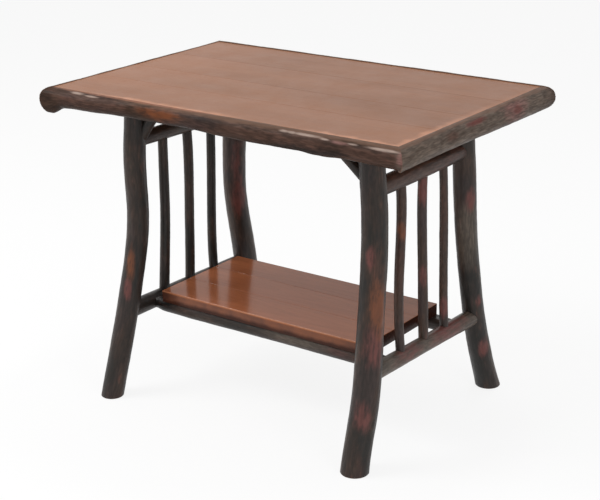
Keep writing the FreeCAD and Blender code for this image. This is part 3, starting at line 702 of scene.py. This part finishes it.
for name, (side, rise, run) in EDGE_DIRECTIONS.items():
    node = f"top_edging_{name}"
    half = HALF_LENGTHS[name]
    slices = np.linspace(-half + EDGING_MARGIN, half - EDGING_MARGIN, EDGING_SLICES)
    rings = []
    for place in slices:
        centre, radius = half_circle(node, side * EDGE_PLACES[name] + run * place, run, rise)
        rings.append([*centre, radius])
    places = steps(-half, half)
    line = eased_line(slices, np.array(rings), places)
    slants = slanted(places / half, part=0)
    places, line, barked = with_ends(places, line, [(-half, 0.0)], [(half, 0.0)])
    poles[node] = pole(f"{node}_sapling", places, line, (side, rise, run),
                       settings_for("edging", Bark=edging_bark, **{"Sawn at": 0.0}),
                       barked, slants)
    swell(poles[node].data)
    print(node, "radius from", round(line[1:-1, 3].min(), 4), "to", round(line[1:-1, 3].max(), 4))

# %% [markdown]
# ## Worn places and painted light
#
# Bark on furniture gets shaved, rubbed and chipped, and the redder inner bark or the wood
# shows. Each mark is given by its kind, where it is seen in the picture, and how far it
# reaches along and across the pole. The nearest point of its own pole is found there, so a
# mark always lies on its pole. Every pole has a tone too, which is how brown it is. The
# edging is shaved in a strip beside the boards, with a painted highlight on that strip, and
# rubbed bare for a stretch of the front. Some marks are painted light: the pale marks are
# chipped bark with a painted highlight, and one brown mark lightens shade on a rail.

# %% Worn places and painted light
MARKED_PLACES = {
    "leg_front_left": (("orange", 127, 264, 0.05, 0.01), ("red", 124, 290, 0.026, 0.011)),
    "leg_back_left": (("red", 240, 200, 0.06, 0.018), ("red", 236, 165, 0.05, 0.011)),
    "leg_front_right": (
        ("red", 367, 259, 0.022, 0.011), ("brown", 383, 270, 0.06, 0.016),
        ("orange", 382, 312, 0.06, 0.022), ("red", 377, 348, 0.045, 0.022),
        ("red", 358, 417, 0.034, 0.018)),
    "leg_back_right": (("red", 473, 202, 0.028, 0.012), ("olive", 466, 240, 0.07, 0.026),
                       ("red", 487, 350, 0.026, 0.014), ("red", 482, 302, 0.014, 0.008)),
    "spindle_right_front": (("orange", 401, 236, 0.02, 0.012), ("brown", 399, 270, 0.08, 0.012)),
    "spindle_right_middle": (("red", 422, 193, 0.036, 0.014), ("red", 423, 280, 0.024, 0.01)),
    "spindle_right_back": (("red", 444, 312, 0.024, 0.012), ("brown", 442, 215, 0.09, 0.01)),
    "lower_rail_right": (("olive", 425, 343, 0.3, 0.05), ("red", 450, 326, 0.07, 0.025),
                         ("red", 412, 349, 0.05, 0.02)),
    # The brown mark along the top of this rail is painted light that lifts the shade under the
    # edging.
    "upper_rail_right": (("brown", 430, 163, 0.25, 0.03),),
    # The dark mark darkens the stretcher's left end, where it meets the front left leg.
    "shelf_stretcher_front": (("olive", 292, 339, 0.08, 0.014), ("dark", 160, 300, 0.03, 0.03)),
    "top_edging_front": (
        ("orange", 155, 111, 0.055, 0.018), ("brown", 84, 102, 0.09, 0.022),
        ("brown", 240, 132, 0.07, 0.02), ("brown", 365, 157, 0.08, 0.02),
        ("brown", 170, 117, 0.06, 0.02), ("brown", 295, 140, 0.09, 0.016),
        # The pale marks are chipped bark with a painted highlight along the shoulder.
        ("pale", 77, 89.5, 0.024, 0.0046), ("pale", 91, 92.6, 0.022, 0.003),
        ("pale", 281, 128.5, 0.013, 0.0036), ("pale", 290, 128.8, 0.014, 0.0034),
        ("pale", 304, 131, 0.038, 0.0036), ("pale", 324, 135.5, 0.012, 0.0024),
        ("pale", 349, 143.3, 0.014, 0.0026), ("pale", 380, 147.4, 0.042, 0.0036),
        ("rosy", 337, 140.2, 0.024, 0.0036), ("rosy", 400, 155, 0.01, 0.02),
        ("olive", 399, 159, 0.015, 0.03)),
    "top_edging_right": (
        ("rosy", 520, 106, 0.045, 0.03), ("red", 522, 111, 0.018, 0.01),
        ("red", 478, 118, 0.04, 0.007), ("brown", 457, 136, 0.025, 0.012),
        ("olive", 430, 150, 0.13, 0.04), ("olive", 462, 133, 0.08, 0.04),
        ("olive", 538, 103, 0.08, 0.04), ("olive", 495, 118, 0.1, 0.04)),
}
MARK_KINDS = ("orange", "red", "rosy", "brown", "olive", "dark", "pale")
BROWN_TONES = {"leg_front_left": 0.32, "leg_back_left": 0.6, "leg": 0.3, "brace": 0.15,
               "spindle_right": 0.75, "spindle": 0.22, "upper_rail_right": 0.4, "upper_rail": 0.3,
               "lower_rail_left": 0.2, "lower_rail": 0.6, "shelf_stretcher": 0.4,
               "top_edging_front": 0.6, "top_edging": 0.55}
# The strip beside the boards is shaved wood with a painted highlight on it.
SHAVED_HIGHLIGHT_WIDTHS = {"front": 0.029, "right": 0.022, "left": 0.023, "back": 0.018}
SHAVED_HIGHLIGHT_FROM, SHAVED_HIGHLIGHT_OVER, SHAVED_HIGHLIGHT_LEAST = -0.36, 0.2, 0.2
BARED_WIDTH, BARED_MIDDLE, BARED_REACH = 0.009, -0.22, 0.2
# How many times its reach a mark fades out at.
MARK_EDGE, SHAVED_HIGHLIGHT_EDGE, BARED_EDGE = 1.5, 1.3, 1.6
DOWNWARD_SHARE = 1.5
POLE_RUNS = {"leg": Z, "spindle": Z, "lower": Y, "upper": Y, "shelf": X}
# A point this many pixels off counts as seen there, and one this many metres off never does.
SEEN_WITHIN, OUT_OF_SIGHT = 4.0, 99


def faded(reach, edge):
    """Full wear up to a reach of edge - 1, fading to none at edge."""
    return np.clip(edge - reach, 0, 1)


def add_marks(node, mesh):
    """Store how strongly each kind of mark, worn or painted light, shows at each point of a pole.
    """
    points = mesh_points(mesh)
    x, y, depth = seen_at(points)
    first_word, name = node.split("_")[0], node.split("_")[-1]
    is_edging = node.startswith("top_edging")
    run = EDGE_DIRECTIONS[name][2] if is_edging else POLE_RUNS.get(first_word)
    marks = {kind: np.zeros(len(points)) for kind in (*MARK_KINDS, "tone", "shaved_and_highlight", "bared")}
    for kind, x_seen, y_seen, length, width in MARKED_PLACES.get(node, ()):
        missed = np.hypot(x - x_seen, y - y_seen)
        near = missed < max(SEEN_WITHIN, missed.min() + 1)
        apart = points - points[np.argmin(np.where(near, depth, OUT_OF_SIGHT))]
        lengthwise = apart @ run
        sideways = np.linalg.norm(apart - np.outer(lengthwise, run), axis=1)
        reach = np.sqrt((lengthwise / length) ** 2 + (sideways / width) ** 2)
        marks[kind] = np.maximum(marks[kind], faded(reach, MARK_EDGE))
    marks["tone"] += next(tone for start, tone in BROWN_TONES.items() if node.startswith(start))
    if is_edging:
        from_boards = points @ EDGE_DIRECTIONS[name][0] - EDGE_PLACES[name]
        from_top = FIELD_TOP - points[:, 2]
        reach = np.maximum(from_boards, 0) + np.maximum(from_top, 0) * DOWNWARD_SHARE
        # The strip beside the boards: shaved wood with a painted highlight.
        marks["shaved_and_highlight"] = faded(reach / SHAVED_HIGHLIGHT_WIDTHS[name], SHAVED_HIGHLIGHT_EDGE)
        if name == "front":
            marks["shaved_and_highlight"] *= np.clip(
                (points[:, 0] - SHAVED_HIGHLIGHT_FROM) / SHAVED_HIGHLIGHT_OVER, SHAVED_HIGHLIGHT_LEAST, 1)
            sideways = np.abs(points[:, 0] - BARED_MIDDLE)
            marks["bared"] = (faded(reach / BARED_WIDTH, BARED_EDGE)
                             * faded(sideways / BARED_REACH, BARED_EDGE))
    for kind, amounts in marks.items():
        store(mesh, kind, amounts)


for node, piece in poles.items():
    add_marks(node, piece.data)
print("worn places", sum(len(places) for places in MARKED_PLACES.values()))

# %% [markdown]
# ## Helpers for finishes
#
# Every finish starts on an empty bench and ends in one Principled shader. What varies over
# the surface is wired into it, and what is the same all over is set on its own socket.

# %% Finishing helpers
def fresh_bench(owner):
    """Empty the node tree of a material or of the world, and set up its bench."""
    owner.use_nodes = True
    owner.node_tree.nodes.clear()
    return Bench(owner.node_tree)


def surface(bench, **inputs):
    """End a finish: its shader, with a wire or a value for each input, and its output."""
    shader = bench.node("ShaderNodeBsdfPrincipled", None, {
        name.replace("_", " "): value for name, value in inputs.items()})["BSDF"]
    bench.node("ShaderNodeOutputMaterial", None, {"Surface": shader})


def mixed(bench, share, first, second):
    """The first colour, with a share of the second over it."""
    return bench.node("ShaderNodeMix", {"data_type": "RGBA"},
                      {"Factor": share, "A": first, "B": second})["Result"]


def bumped(bench, height, distance, strength):
    """Normals for a height that is too fine for the mesh. Distance is in metres."""
    return bench.node("ShaderNodeBump", None, {
        "Height": height, "Distance": distance, "Strength": strength})["Normal"]


def attribute(bench, name, output="Fac"):
    """What a mesh carries at each point under a name."""
    return bench.node("ShaderNodeAttribute", {"attribute_name": name})[output]


print("finishing helpers ready")

# %% [markdown]
# ## The finish on the bark
#
# Hickory bark under old varnish is a charcoal brown, greyer and greener where it is
# weathered. Furrows are darker, ridges are rubbed lighter, and the varnish lies unevenly on
# it, so the gloss comes and goes. The pattern follows each pole, because the tree stored
# where each point would lie on a straight, smooth pole. The edging has turned browner and
# duller, and has worn and weathered colours of its own.

# %% Bark
CHARCOAL = (0.0165, 0.0142, 0.0118, 1)
WARM_BROWN = (0.082, 0.043, 0.029, 1)
PLUM_BROWN = (0.062, 0.038, 0.034, 1)
GREY_BARK = (0.04, 0.036, 0.025, 1)
INNER_RED = (0.14, 0.048, 0.041, 1)
SHAVED_ORANGE = (0.16, 0.054, 0.024, 1)
# Brown of worn bark; one mark in this colour is painted light.
WORN_AND_LIT_BROWN = (0.076, 0.036, 0.025, 1)
WORN_EDGING = (0.102, 0.056, 0.042, 1)
RUBBED_ROSE = (0.25, 0.13, 0.113, 1)
WEATHERED_OLIVE = (0.118, 0.092, 0.071, 1)
WEATHERED_TAUPE = (0.155, 0.118, 0.094, 1)
# Pale chipped bark, lightened into a painted highlight.
PALE_CHIP_AND_HIGHLIGHT = (0.38, 0.285, 0.24, 1)
# Shaved wood, lightened into a painted highlight.
SHAVED_WOOD_AND_HIGHLIGHT = (0.15, 0.088, 0.062, 1)
BARED_WOOD = (0.27, 0.125, 0.08, 1)
FURROW_DARK = (0.007, 0.0055, 0.0045, 1)
BARK_BUMP = (0.0008, 0.7)
ROUGH_LEAST, ROUGH_VARIES, ROUGH_IN_FURROWS = 0.16, 0.36, 0.1


def bark_finish(material, browning, brown_layer, weathered, **shader_values):
    """Bark under varnish. Browning is how much browner than charcoal it has turned."""
    bench = fresh_bench(material)
    grain = attribute(bench, "grain", "Vector")
    given = {name: attribute(bench, name)
             for name in ("ridge", "knot", "tone", "shaved_and_highlight", "bared", *MARK_KINDS)}
    broad = bench.noise(grain, (17, 17, 6), detail=2)
    patchy = bench.noise(grain, (44, 44, 13), roughness=0.55)
    mottle = bench.noise(grain, (125, 125, 42), roughness=0.6)
    streaks = bench.noise(grain, (330, 330, 22), roughness=0.6)
    fibres = bench.noise(grain, (1500, 1500, 70), detail=2)
    chance = bench.noise(grain, (9, 9, 3.2), detail=2).smooth(0.6, 0.72)
    varnish = bench.noise(grain, (60, 60, 24), detail=2)

    # How brown the bark is, and how ragged and patchy its marks are.
    brown = ((broad - 0.5) * 1.7 + (patchy - 0.5) * 1.1 + (mottle - 0.5) * 0.5
             + given["tone"] + browning)
    browns = mixed(bench, bench.noise(grain, (21, 21, 8)).smooth(0.4, 0.6), WARM_BROWN, PLUM_BROWN)
    ragged = (patchy - 0.5) * 0.8 + (mottle - 0.5) * 0.7 + (streaks - 0.5) * 0.25
    cover = mottle.smooth(0.3, 0.55) * 0.45 + patchy.smooth(0.35, 0.55) * 0.25 + 0.35
    shown = {kind: (given[kind] + ragged).smooth(0.05, 1.1) * cover for kind in MARK_KINDS}

    # How strongly each layer shows. What is shaved or rubbed is smooth, with faint furrows.
    greyed = shown["olive"].most(shown["olive"] * 0.5 + 0.35) * given["olive"].smooth(0, 0.5)
    reddened = (chance * patchy.smooth(0.35, 0.65) * 0.55).most(shown["red"])
    # The shaved strip carries a painted highlight.
    shaved_and_highlight = (given["shaved_and_highlight"] + ragged * 0.7).smooth(0.25, 0.85)
    bared = (given["bared"] + ragged * 0.6).smooth(0.3, 0.9)
    # The pale marks: chipped bark with a painted highlight.
    pale_chip_and_highlight = (given["pale"] + ragged * 0.6).smooth(0.2, 1.15)
    smoothed = shown["orange"].most(shown["red"]).most(shown["pale"]).most(shaved_and_highlight)
    furrow = ((1 - given["ridge"]) * 0.42 + (0.5 - streaks).most(0) * 0.8) * (1 - smoothed * 0.6)
    knotted = given["knot"].smooth(0.55, 0.95) * 0.5

    # The layers, from the oldest up.
    colour = mixed(bench, brown.most(0).least(1), CHARCOAL, browns)
    for share, layer in (
            (patchy.smooth(0.52, 0.72) * 0.5, GREY_BARK), (greyed, weathered),
            (shown["brown"], brown_layer), (shown["rosy"], RUBBED_ROSE), (shown["dark"], FURROW_DARK),
            (reddened, INNER_RED), (shown["orange"], SHAVED_ORANGE),
            (shaved_and_highlight * 0.9, SHAVED_WOOD_AND_HIGHLIGHT), (bared * 0.9, BARED_WOOD), (pale_chip_and_highlight, PALE_CHIP_AND_HIGHLIGHT),
            (furrow.least(0.8), FURROW_DARK), (knotted, FURROW_DARK)):
        colour = mixed(bench, share, colour, layer)
    roughness = (varnish * ROUGH_VARIES + ROUGH_LEAST
                 + (1 - given["ridge"]) * ROUGH_IN_FURROWS)
    height = (streaks * 0.7 + fibres * 0.3) * (1 - smoothed * 0.6)
    surface(bench, Base_Color=colour, Roughness=roughness,
            Normal=bumped(bench, height, *BARK_BUMP), **shader_values)


bark_finish(bark, 0.0, WORN_AND_LIT_BROWN, WEATHERED_OLIVE, Specular_IOR_Level=0.28)
bark_finish(edging_bark, 0.15, WORN_EDGING, WEATHERED_TAUPE, Specular_IOR_Level=0.04)
print("bark", [material.name for material in (bark, edging_bark)])

# %% [markdown]
# ## Cut wood
#
# Where a pole is sawn, its end grain shows: growth rings round the pole's middle, drawn by
# a sine of the distance from it, and cracks. The foot of each leg is the one that shows.

# %% Cut wood
CUT_LIGHT = (0.16, 0.092, 0.06, 1)
CUT_DARK = (0.08, 0.04, 0.024, 1)
CUT_BUMP = (0.0005, 0.6)
RING_WAVES, RING_UNEVENNESS = 2800, 0.004

bench = fresh_bench(cut_wood)
grain = attribute(bench, "grain", "Vector")
x, y, _ = bench.split(grain)
from_heart = (x ** 2 + y ** 2) ** 0.5 + bench.noise(grain, (60, 60, 60)) * RING_UNEVENNESS
growth = (from_heart * RING_WAVES).math("SINE") * 0.5 + 0.5
cracks = bench.noise(grain, (240, 240, 30))
surface(bench, Base_Color=mixed(bench, growth * 0.5 + cracks * 0.4, CUT_LIGHT, CUT_DARK),
        Roughness=cracks * 0.25 + 0.5,
        Normal=bumped(bench, growth * 0.5 + cracks, *CUT_BUMP), Specular_IOR_Level=0.3)
print("cut wood", len(cut_wood.node_tree.nodes), "nodes")

# %% [markdown]
# ## The boards
#
# The boards stay as they are in the solid model and get a finish of their own. Each board
# is sawn from its own plank, so the growth rings are drawn round a heart line that lies a
# little differently below every board. Rings cut at a low angle give the long arches of a
# flat-sawn board. Over them lie fine pores, slow changes of colour, and the varnish.

# %% Board finish
RINGS_PER_METRE = 230
LEAN_ACROSS, LEAN_DOWN = 0.012, 0.03
SWAY_ACROSS, SWAY_DOWN = 0.016, 0.012
BOARD_BUMP_DEPTH = 0.0004


def board_finish(name, light, dark, pore, heart, tint, gloss, marks=None, contrast=0.2,
                 bump=0.35, **shader_values):
    """A varnished board: heart is where its heart line lies, tint moves its colour, and
    gloss is its roughness and how much that varies."""
    material = bpy.data.materials.new(name)
    bench = fresh_bench(material)
    place = bench.node("ShaderNodeTexCoord")["Object"]
    moved = bench.vector_math("ADD", place, heart)
    x, y, z = bench.split(moved)
    sway = bench.noise(moved, (2.6, 9, 9), roughness=0.55) - 0.5
    across = y + sway * SWAY_ACROSS + x * LEAN_ACROSS
    down = z + x * LEAN_DOWN + sway * SWAY_DOWN
    ring = ((across ** 2 + down ** 2) ** 0.5 * RINGS_PER_METRE).math("FRACT")
    late = ring.smooth(0.35, 0.9) * (1 - ring.smooth(0.9, 1.0))
    slow = bench.noise(moved, (1.6, 7, 7))
    streak = bench.noise(moved, (5, 260, 260), detail=4, roughness=0.65)
    pores = bench.noise(moved, (46, 1500, 1500), detail=2, roughness=0.6).smooth(0.6, 0.72)
    shade = (late * contrast + (streak - 0.5) * 0.8 + (slow - 0.5) * 1.1 + tint).most(0).least(1)
    colour = mixed(bench, shade, light, dark)
    colour = mixed(bench, pores * (late * 0.4 + 0.35), colour, pore)
    if marks:
        colour = marks(bench, place, colour)
    satin = bench.noise(place, (14, 14, 14), detail=4, roughness=0.6)
    usual, change = gloss
    height = streak * 0.35 + late * 0.15 - pores * 0.6
    surface(bench, Base_Color=colour, Roughness=(satin - 0.5) * change + usual + pores * 0.08,
            Normal=bumped(bench, height, BOARD_BUMP_DEPTH, bump), **shader_values)
    return material


def dress(node, material):
    """Give a solid a better material, and leave its shape alone."""
    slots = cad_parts[node].material_slots
    for slot in slots:
        slot.material = material
    if not slots:
        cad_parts[node].data.materials.append(material)


print("board finish ready")

# %% [markdown]
# ## The boards of the top
#
# The top is a worn satin brown. Hands and sleeves have rubbed it paler along its edge, most
# along two stretches of the front, and its left end and its front are a little paler as
# painted light.

# %% Top boards
TOP_LIGHT = (0.262, 0.106, 0.046, 1)
TOP_DARK = (0.14, 0.055, 0.022, 1)
TOP_PORE = (0.07, 0.024, 0.01, 1)
TOP_GLOSS = (0.38, 0.2)
TOP_EDGE_LIGHT = (0.48, 0.21, 0.113, 1)
TOP_EDGE_WIDTH, TOP_EDGE_INSET, TOP_EDGE_RAGGED = 0.026, 0.014, 0.03
RUBBED_STRETCHES, RUBBED_BAND = ((-0.13, 0.17), (0.36, 0.12)), (0.6, 1.3)
RUBBED_AT_MIDDLE, RUBBED_PER_METRE = 0.25, -2.4
RUBBED_LEAST, RUBBED_MOST, RUBBED_FALL = 0.2, 0.7, 1.5
# The left end and the front are painted paler as painted light.
PAINTED_LIGHT_LEFT, LEFT_SHARE = (-0.44, -0.1), 0.14
PAINTED_LIGHT_FRONT, FRONT_SHARE = (-0.3, -0.08), 0.1
TOP_HALF_LENGTH, TOP_HALF_WIDTH = HALF_LENGTHS["front"], HALF_LENGTHS["right"]


def top_wear_and_painted_light(bench, place, colour):
    """The varnish is rubbed paler along the edge of the top; its left end and front get painted
    light.
    """
    x, y, _ = bench.split(place)
    inset = (TOP_HALF_LENGTH - x.size()).least(TOP_HALF_WIDTH - y.size())
    ragged = bench.noise(place, (30, 30, 30)) * TOP_EDGE_RAGGED
    edge = (1 - (inset + ragged - TOP_EDGE_INSET).smooth(0, TOP_EDGE_WIDTH)) ** RUBBED_FALL
    edge_strength = 0
    for middle, reach in RUBBED_STRETCHES:
        edge_strength = (1 - ((x - middle) / reach).size().smooth(*RUBBED_BAND)).most(edge_strength)
    toward_front = (y * RUBBED_PER_METRE + RUBBED_AT_MIDDLE).most(0).least(RUBBED_MOST)
    edge_strength = edge_strength * toward_front + RUBBED_LEAST
    # Painted light: the left end and the front are paler.
    painted_light = ((1 - x.smooth(*PAINTED_LIGHT_LEFT)) * LEFT_SHARE).most(
        (1 - y.smooth(*PAINTED_LIGHT_FRONT)) * FRONT_SHARE)
    return mixed(bench, (edge * edge_strength).most(painted_light), colour, TOP_EDGE_LIGHT)


TOP_HEARTS = ((0.3, 0.46, -0.61), (-0.5, 0.3, -0.62), (0.1, -0.33, -0.6), (0.7, -0.5, -0.63))
TOP_TINTS = (0.16, 0.2, 0.24, 0.24)
for number, (heart, tint) in enumerate(zip(TOP_HEARTS, TOP_TINTS), start=1):
    finish = board_finish(f"top_wood_{number}", TOP_LIGHT, TOP_DARK, TOP_PORE, heart, tint,
                          TOP_GLOSS, marks=top_wear_and_painted_light, Specular_IOR_Level=0.16)
    dress(f"top_board_{number}", finish)
print("top", round(2 * TOP_HALF_LENGTH, 4), "by", round(2 * TOP_HALF_WIDTH, 4))

# %% [markdown]
# ## The boards of the shelf
#
# The shelf is redder and much glossier than the top. Its front arris carries a painted
# highlight. Its front face has painted shade, with old stain and a painted contact shadow
# along the lower edge, a darker left corner, and dark end grain with painted shade on the ends.

# %% Shelf boards
SHELF_LIGHT = (0.37, 0.125, 0.054, 1)
SHELF_DARK = (0.18, 0.062, 0.027, 1)
SHELF_PORE = (0.07, 0.024, 0.01, 1)
# The arris colour is a painted highlight.
SHELF_ARRIS_HIGHLIGHT = (0.5, 0.22, 0.12, 1)
# The front face colour is painted shade.
SHELF_FACE_SHADE = (0.11, 0.053, 0.04, 1)
# Stain, darkened further as painted shadow and shade.
SHELF_STAIN_AND_SHADE = (0.035, 0.011, 0.007, 1)
SHELF_GLOSS = (0.14, 0.08)
SHELF_LOW = np.array(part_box("shelf_board_1")[0])
SHELF_HIGH = np.array(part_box("shelf_board_3")[1])
ARRIS_WIDTH = 0.0035
# Bands are in metres: below the top, or in from the left corner or the end.
FACE_SHADE_BAND, STAIN_SHADOW_BAND = (0.0015, 0.006), (0.013, 0.024)
CORNER_BAND, CORNER_TOP_BAND = (0.005, 0.06), (0, 0.004)
END_BAND, END_TOP_BAND = (0.0002, 0.0008), (0, 0.002)
CORNER_SHARE, STAIN_SHADOW_SHARE, END_SHARE = 0.7, 0.9, 0.97
STAIN_SHADOW_RAGGED = 0.008
SHINY_STRETCH = (-0.25, 0.05)


def shelf_stain_and_painted_light(bench, place, colour):
    """A painted highlight along the front arris, painted shade on the face below it, stain with
    a painted contact shadow low on that face, a darker left corner, and dark end grain with
    painted shade on the ends."""
    x, y, z = bench.split(place)
    waver = bench.noise(place, (26, 26, 26))
    from_front, from_top = y - SHELF_LOW[1], SHELF_HIGH[2] - z
    from_end, from_left = SHELF_HIGH[0] - x.size(), x - SHELF_LOW[0]
    arris = 1 - (from_front + from_top).smooth(ARRIS_WIDTH * 0.4, ARRIS_WIDTH)
    # Painted shade on the front face below the arris.
    face_shade = from_top.smooth(*FACE_SHADE_BAND) * (waver.smooth(0.35, 0.65) * 0.3 + 0.55)
    corner = (1 - from_left.smooth(*CORNER_BAND)) * from_top.smooth(*CORNER_TOP_BAND)
    # Low on the front face: stain with a painted contact shadow; on the ends: dark end grain with
    # painted shade.
    stain_and_shadow = (from_top + (waver - 0.5) * STAIN_SHADOW_RAGGED).smooth(*STAIN_SHADOW_BAND) * STAIN_SHADOW_SHARE
    end_grain_and_shade = (1 - from_end.smooth(*END_BAND)) * from_top.smooth(*END_TOP_BAND)
    stain_and_shade = stain_and_shadow.most(end_grain_and_shade * END_SHARE).most(corner * CORNER_SHARE)
    colour = mixed(bench, face_shade, colour, SHELF_FACE_SHADE)
    colour = mixed(bench, stain_and_shade, colour, SHELF_STAIN_AND_SHADE)
    # How strongly the painted highlight shows along the arris.
    edge_strength = waver.smooth(0.2, 0.6) * (x.smooth(*SHINY_STRETCH) * 0.35 + 0.4)
    return mixed(bench, arris * edge_strength, colour, SHELF_ARRIS_HIGHLIGHT)


SHELF_HEARTS = ((0.2, 0.1, -0.14), (-0.4, 0.0, -0.13), (0.9, -0.12, -0.15))
SHELF_TINTS = (0.1, 0.13, 0.17)
for number, (heart, tint) in enumerate(zip(SHELF_HEARTS, SHELF_TINTS), start=1):
    finish = board_finish(f"shelf_wood_{number}", SHELF_LIGHT, SHELF_DARK, SHELF_PORE, heart, tint,
                          SHELF_GLOSS, marks=shelf_stain_and_painted_light, contrast=0.1, bump=0.12,
                          Specular_IOR_Level=0.13)
    dress(f"shelf_board_{number}", finish)
print("shelf", [round(float(side), 4) for side in SHELF_HIGH - SHELF_LOW])

# %% [markdown]
# ## The battens
#
# The battens under the top were never varnished, so they are paler, drier and duller.

# %% Battens
PLAIN_LIGHT = (0.2, 0.11, 0.06, 1)
PLAIN_DARK = (0.1, 0.05, 0.026, 1)
PLAIN_PORE = (0.04, 0.02, 0.01, 1)
PLAIN_GLOSS, PLAIN_TINT = (0.62, 0.2), 0.1
BATTEN_HEARTS = {"left": (0.2, 0.5, -0.6), "right": (-0.3, 0.2, -0.62)}
for end, heart in BATTEN_HEARTS.items():
    finish = board_finish(f"plain_wood_{end}", PLAIN_LIGHT, PLAIN_DARK, PLAIN_PORE, heart,
                          PLAIN_TINT, PLAIN_GLOSS, Specular_IOR_Level=0.3)
    dress(f"top_batten_{end}", finish)
print("battens", len(BATTEN_HEARTS))

# %% [markdown]
# ## Nails and screws
#
# Only the heads show: dull, browned steel, darker where it has rusted.

# %% Steel
STEEL_GREY, STEEL_RUST = (0.11, 0.1, 0.09, 1), (0.05, 0.02, 0.01, 1)
STEEL_BUMP = (0.0003, 0.5)
steel = bpy.data.materials.new("steel")
bench = fresh_bench(steel)
place = bench.node("ShaderNodeTexCoord")["Object"]
rust = bench.noise(place, (900, 900, 900), detail=4, roughness=0.65)
rusted = rust.smooth(0.4, 0.6)
pits = bench.noise(place, (2600, 2600, 2600), detail=2)
surface(bench, Base_Color=mixed(bench, rusted, STEEL_GREY, STEEL_RUST),
        Metallic=1 - rusted * 0.7, Roughness=rust * 0.5 + 0.3,
        Normal=bumped(bench, pits, *STEEL_BUMP))
FASTENERS = ("edging_nails", "batten_screws", "tenon_nails", "brace_nails", "shelf_screws")
for node in FASTENERS:
    dress(node, steel)
print("fasteners", len(FASTENERS))

# %% [markdown]
# ## Each pole stands for its solid
#
# Every pole rides on the table's one body and hides the smooth solid that it was measured
# on. A pole has to be closed with its faces outwards, so the volume that each one holds is
# worked out: it would be below 0 if they faced inwards.

# %% Poles and solids
def volume(mesh):
    """The volume that a closed mesh holds: below 0 if its faces point inwards."""
    mesh.calc_loop_triangles()
    corners = np.empty(len(mesh.loop_triangles) * 3, dtype=np.int32)
    mesh.loop_triangles.foreach_get("vertices", corners)
    first, second, third = mesh_points(mesh)[corners.reshape(-1, 3)].transpose(1, 0, 2)
    return (first * np.cross(second, third)).sum() / 6


for node, piece in poles.items():
    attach(piece, "root")
    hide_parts(node)
print(len(poles), "poles", sum(len(piece.data.polygons) for piece in poles.values()), "faces")
print("smallest volume", min(volume(piece.data) for piece in poles.values()))

# %% [markdown]
# ## Floor and world
#
# The floor is plain and pale and keeps a soft shadow, and the world is an even white. Both
# look white to the camera and in a reflection, whatever light they give the table.

# %% Floor and world
FLOOR_SIZE = 30.0
FLOOR_WHITE = (0.93, 0.93, 0.93, 1)
FLOOR_SHOWN_SHARE = 0.86
PURE_WHITE = (1, 1, 1, 1)
WORLD_STRENGTH = 0.55


def seen_share(bench):
    """1 where a surface is seen, also in a mirror or through glass, and 0 where it lights."""
    ray = bench.node("ShaderNodeLightPath")
    return ray["Is Camera Ray"].most(ray["Is Glossy Ray"]).most(ray["Is Transmission Ray"])


def stage_shader(material):
    """White to the camera and in reflections, and still able to hold a shadow."""
    bench = fresh_bench(material)
    share = seen_share(bench) * FLOOR_SHOWN_SHARE
    matt = bench.node("ShaderNodeBsdfDiffuse", None, {"Color": FLOOR_WHITE})["BSDF"]
    white = bench.node("ShaderNodeEmission", None, {
        "Color": PURE_WHITE, "Strength": 1.0})["Emission"]
    shown = bench.node("ShaderNodeMixShader", None, {0: share, 1: matt, 2: white})["Shader"]
    bench.node("ShaderNodeOutputMaterial", None, {"Surface": shown})


floor_mesh = bpy.data.meshes.new("floor")
half = FLOOR_SIZE / 2
floor_mesh.from_pydata([(-half, -half, 0), (half, -half, 0), (half, half, 0), (-half, half, 0)],
                       [], [(0, 1, 2, 3)])
floor_finish = bpy.data.materials.new("floor")
stage_shader(floor_finish)
floor_mesh.materials.append(floor_finish)
new_object("floor", floor_mesh)

world = bpy.data.worlds.new("studio")
bpy.context.scene.world = world
bench = fresh_bench(world)
strength = seen_share(bench) * (1 - WORLD_STRENGTH) + WORLD_STRENGTH
background = bench.node("ShaderNodeBackground", None, {
    "Color": PURE_WHITE, "Strength": strength})["Background"]
bench.node("ShaderNodeOutputWorld", None, {"Surface": background})
print("floor", FLOOR_SIZE, "metres wide")

# %% [markdown]
# ## Lamps
#
# One broad lamp from the left and in front gives the rounded poles their shape. A weaker one
# from the right fills the shadows, and a small high one puts the shine on the varnish.

# %% Lamps
def soft_lamp(name, place, aim, size, power):
    """A square lamp that shines from its place towards its aim."""
    lamp = bpy.data.lights.new(name, "AREA")
    lamp.shape = "SQUARE"
    lamp.size = size
    lamp.energy = power
    holder = new_object(name, lamp)
    holder.location = place
    holder.rotation_euler = (Vector(aim) - Vector(place)).to_track_quat("-Z", "Y").to_euler()


soft_lamp("key_lamp", place=(-2.1, -1.5, 2.8), aim=(0, 0, 0.4), size=1.6, power=70)
soft_lamp("fill_lamp", place=(2.8, -1.2, 1.6), aim=(0, 0, 0.4), size=1.6, power=22)
soft_lamp("high_lamp", place=(0.1, 0.7, 2.9), aim=(0, 0, 0.7), size=0.45, power=11)
bpy.context.scene.view_settings.view_transform = "Standard"
print("lamps", [item.name for item in bpy.data.lights])
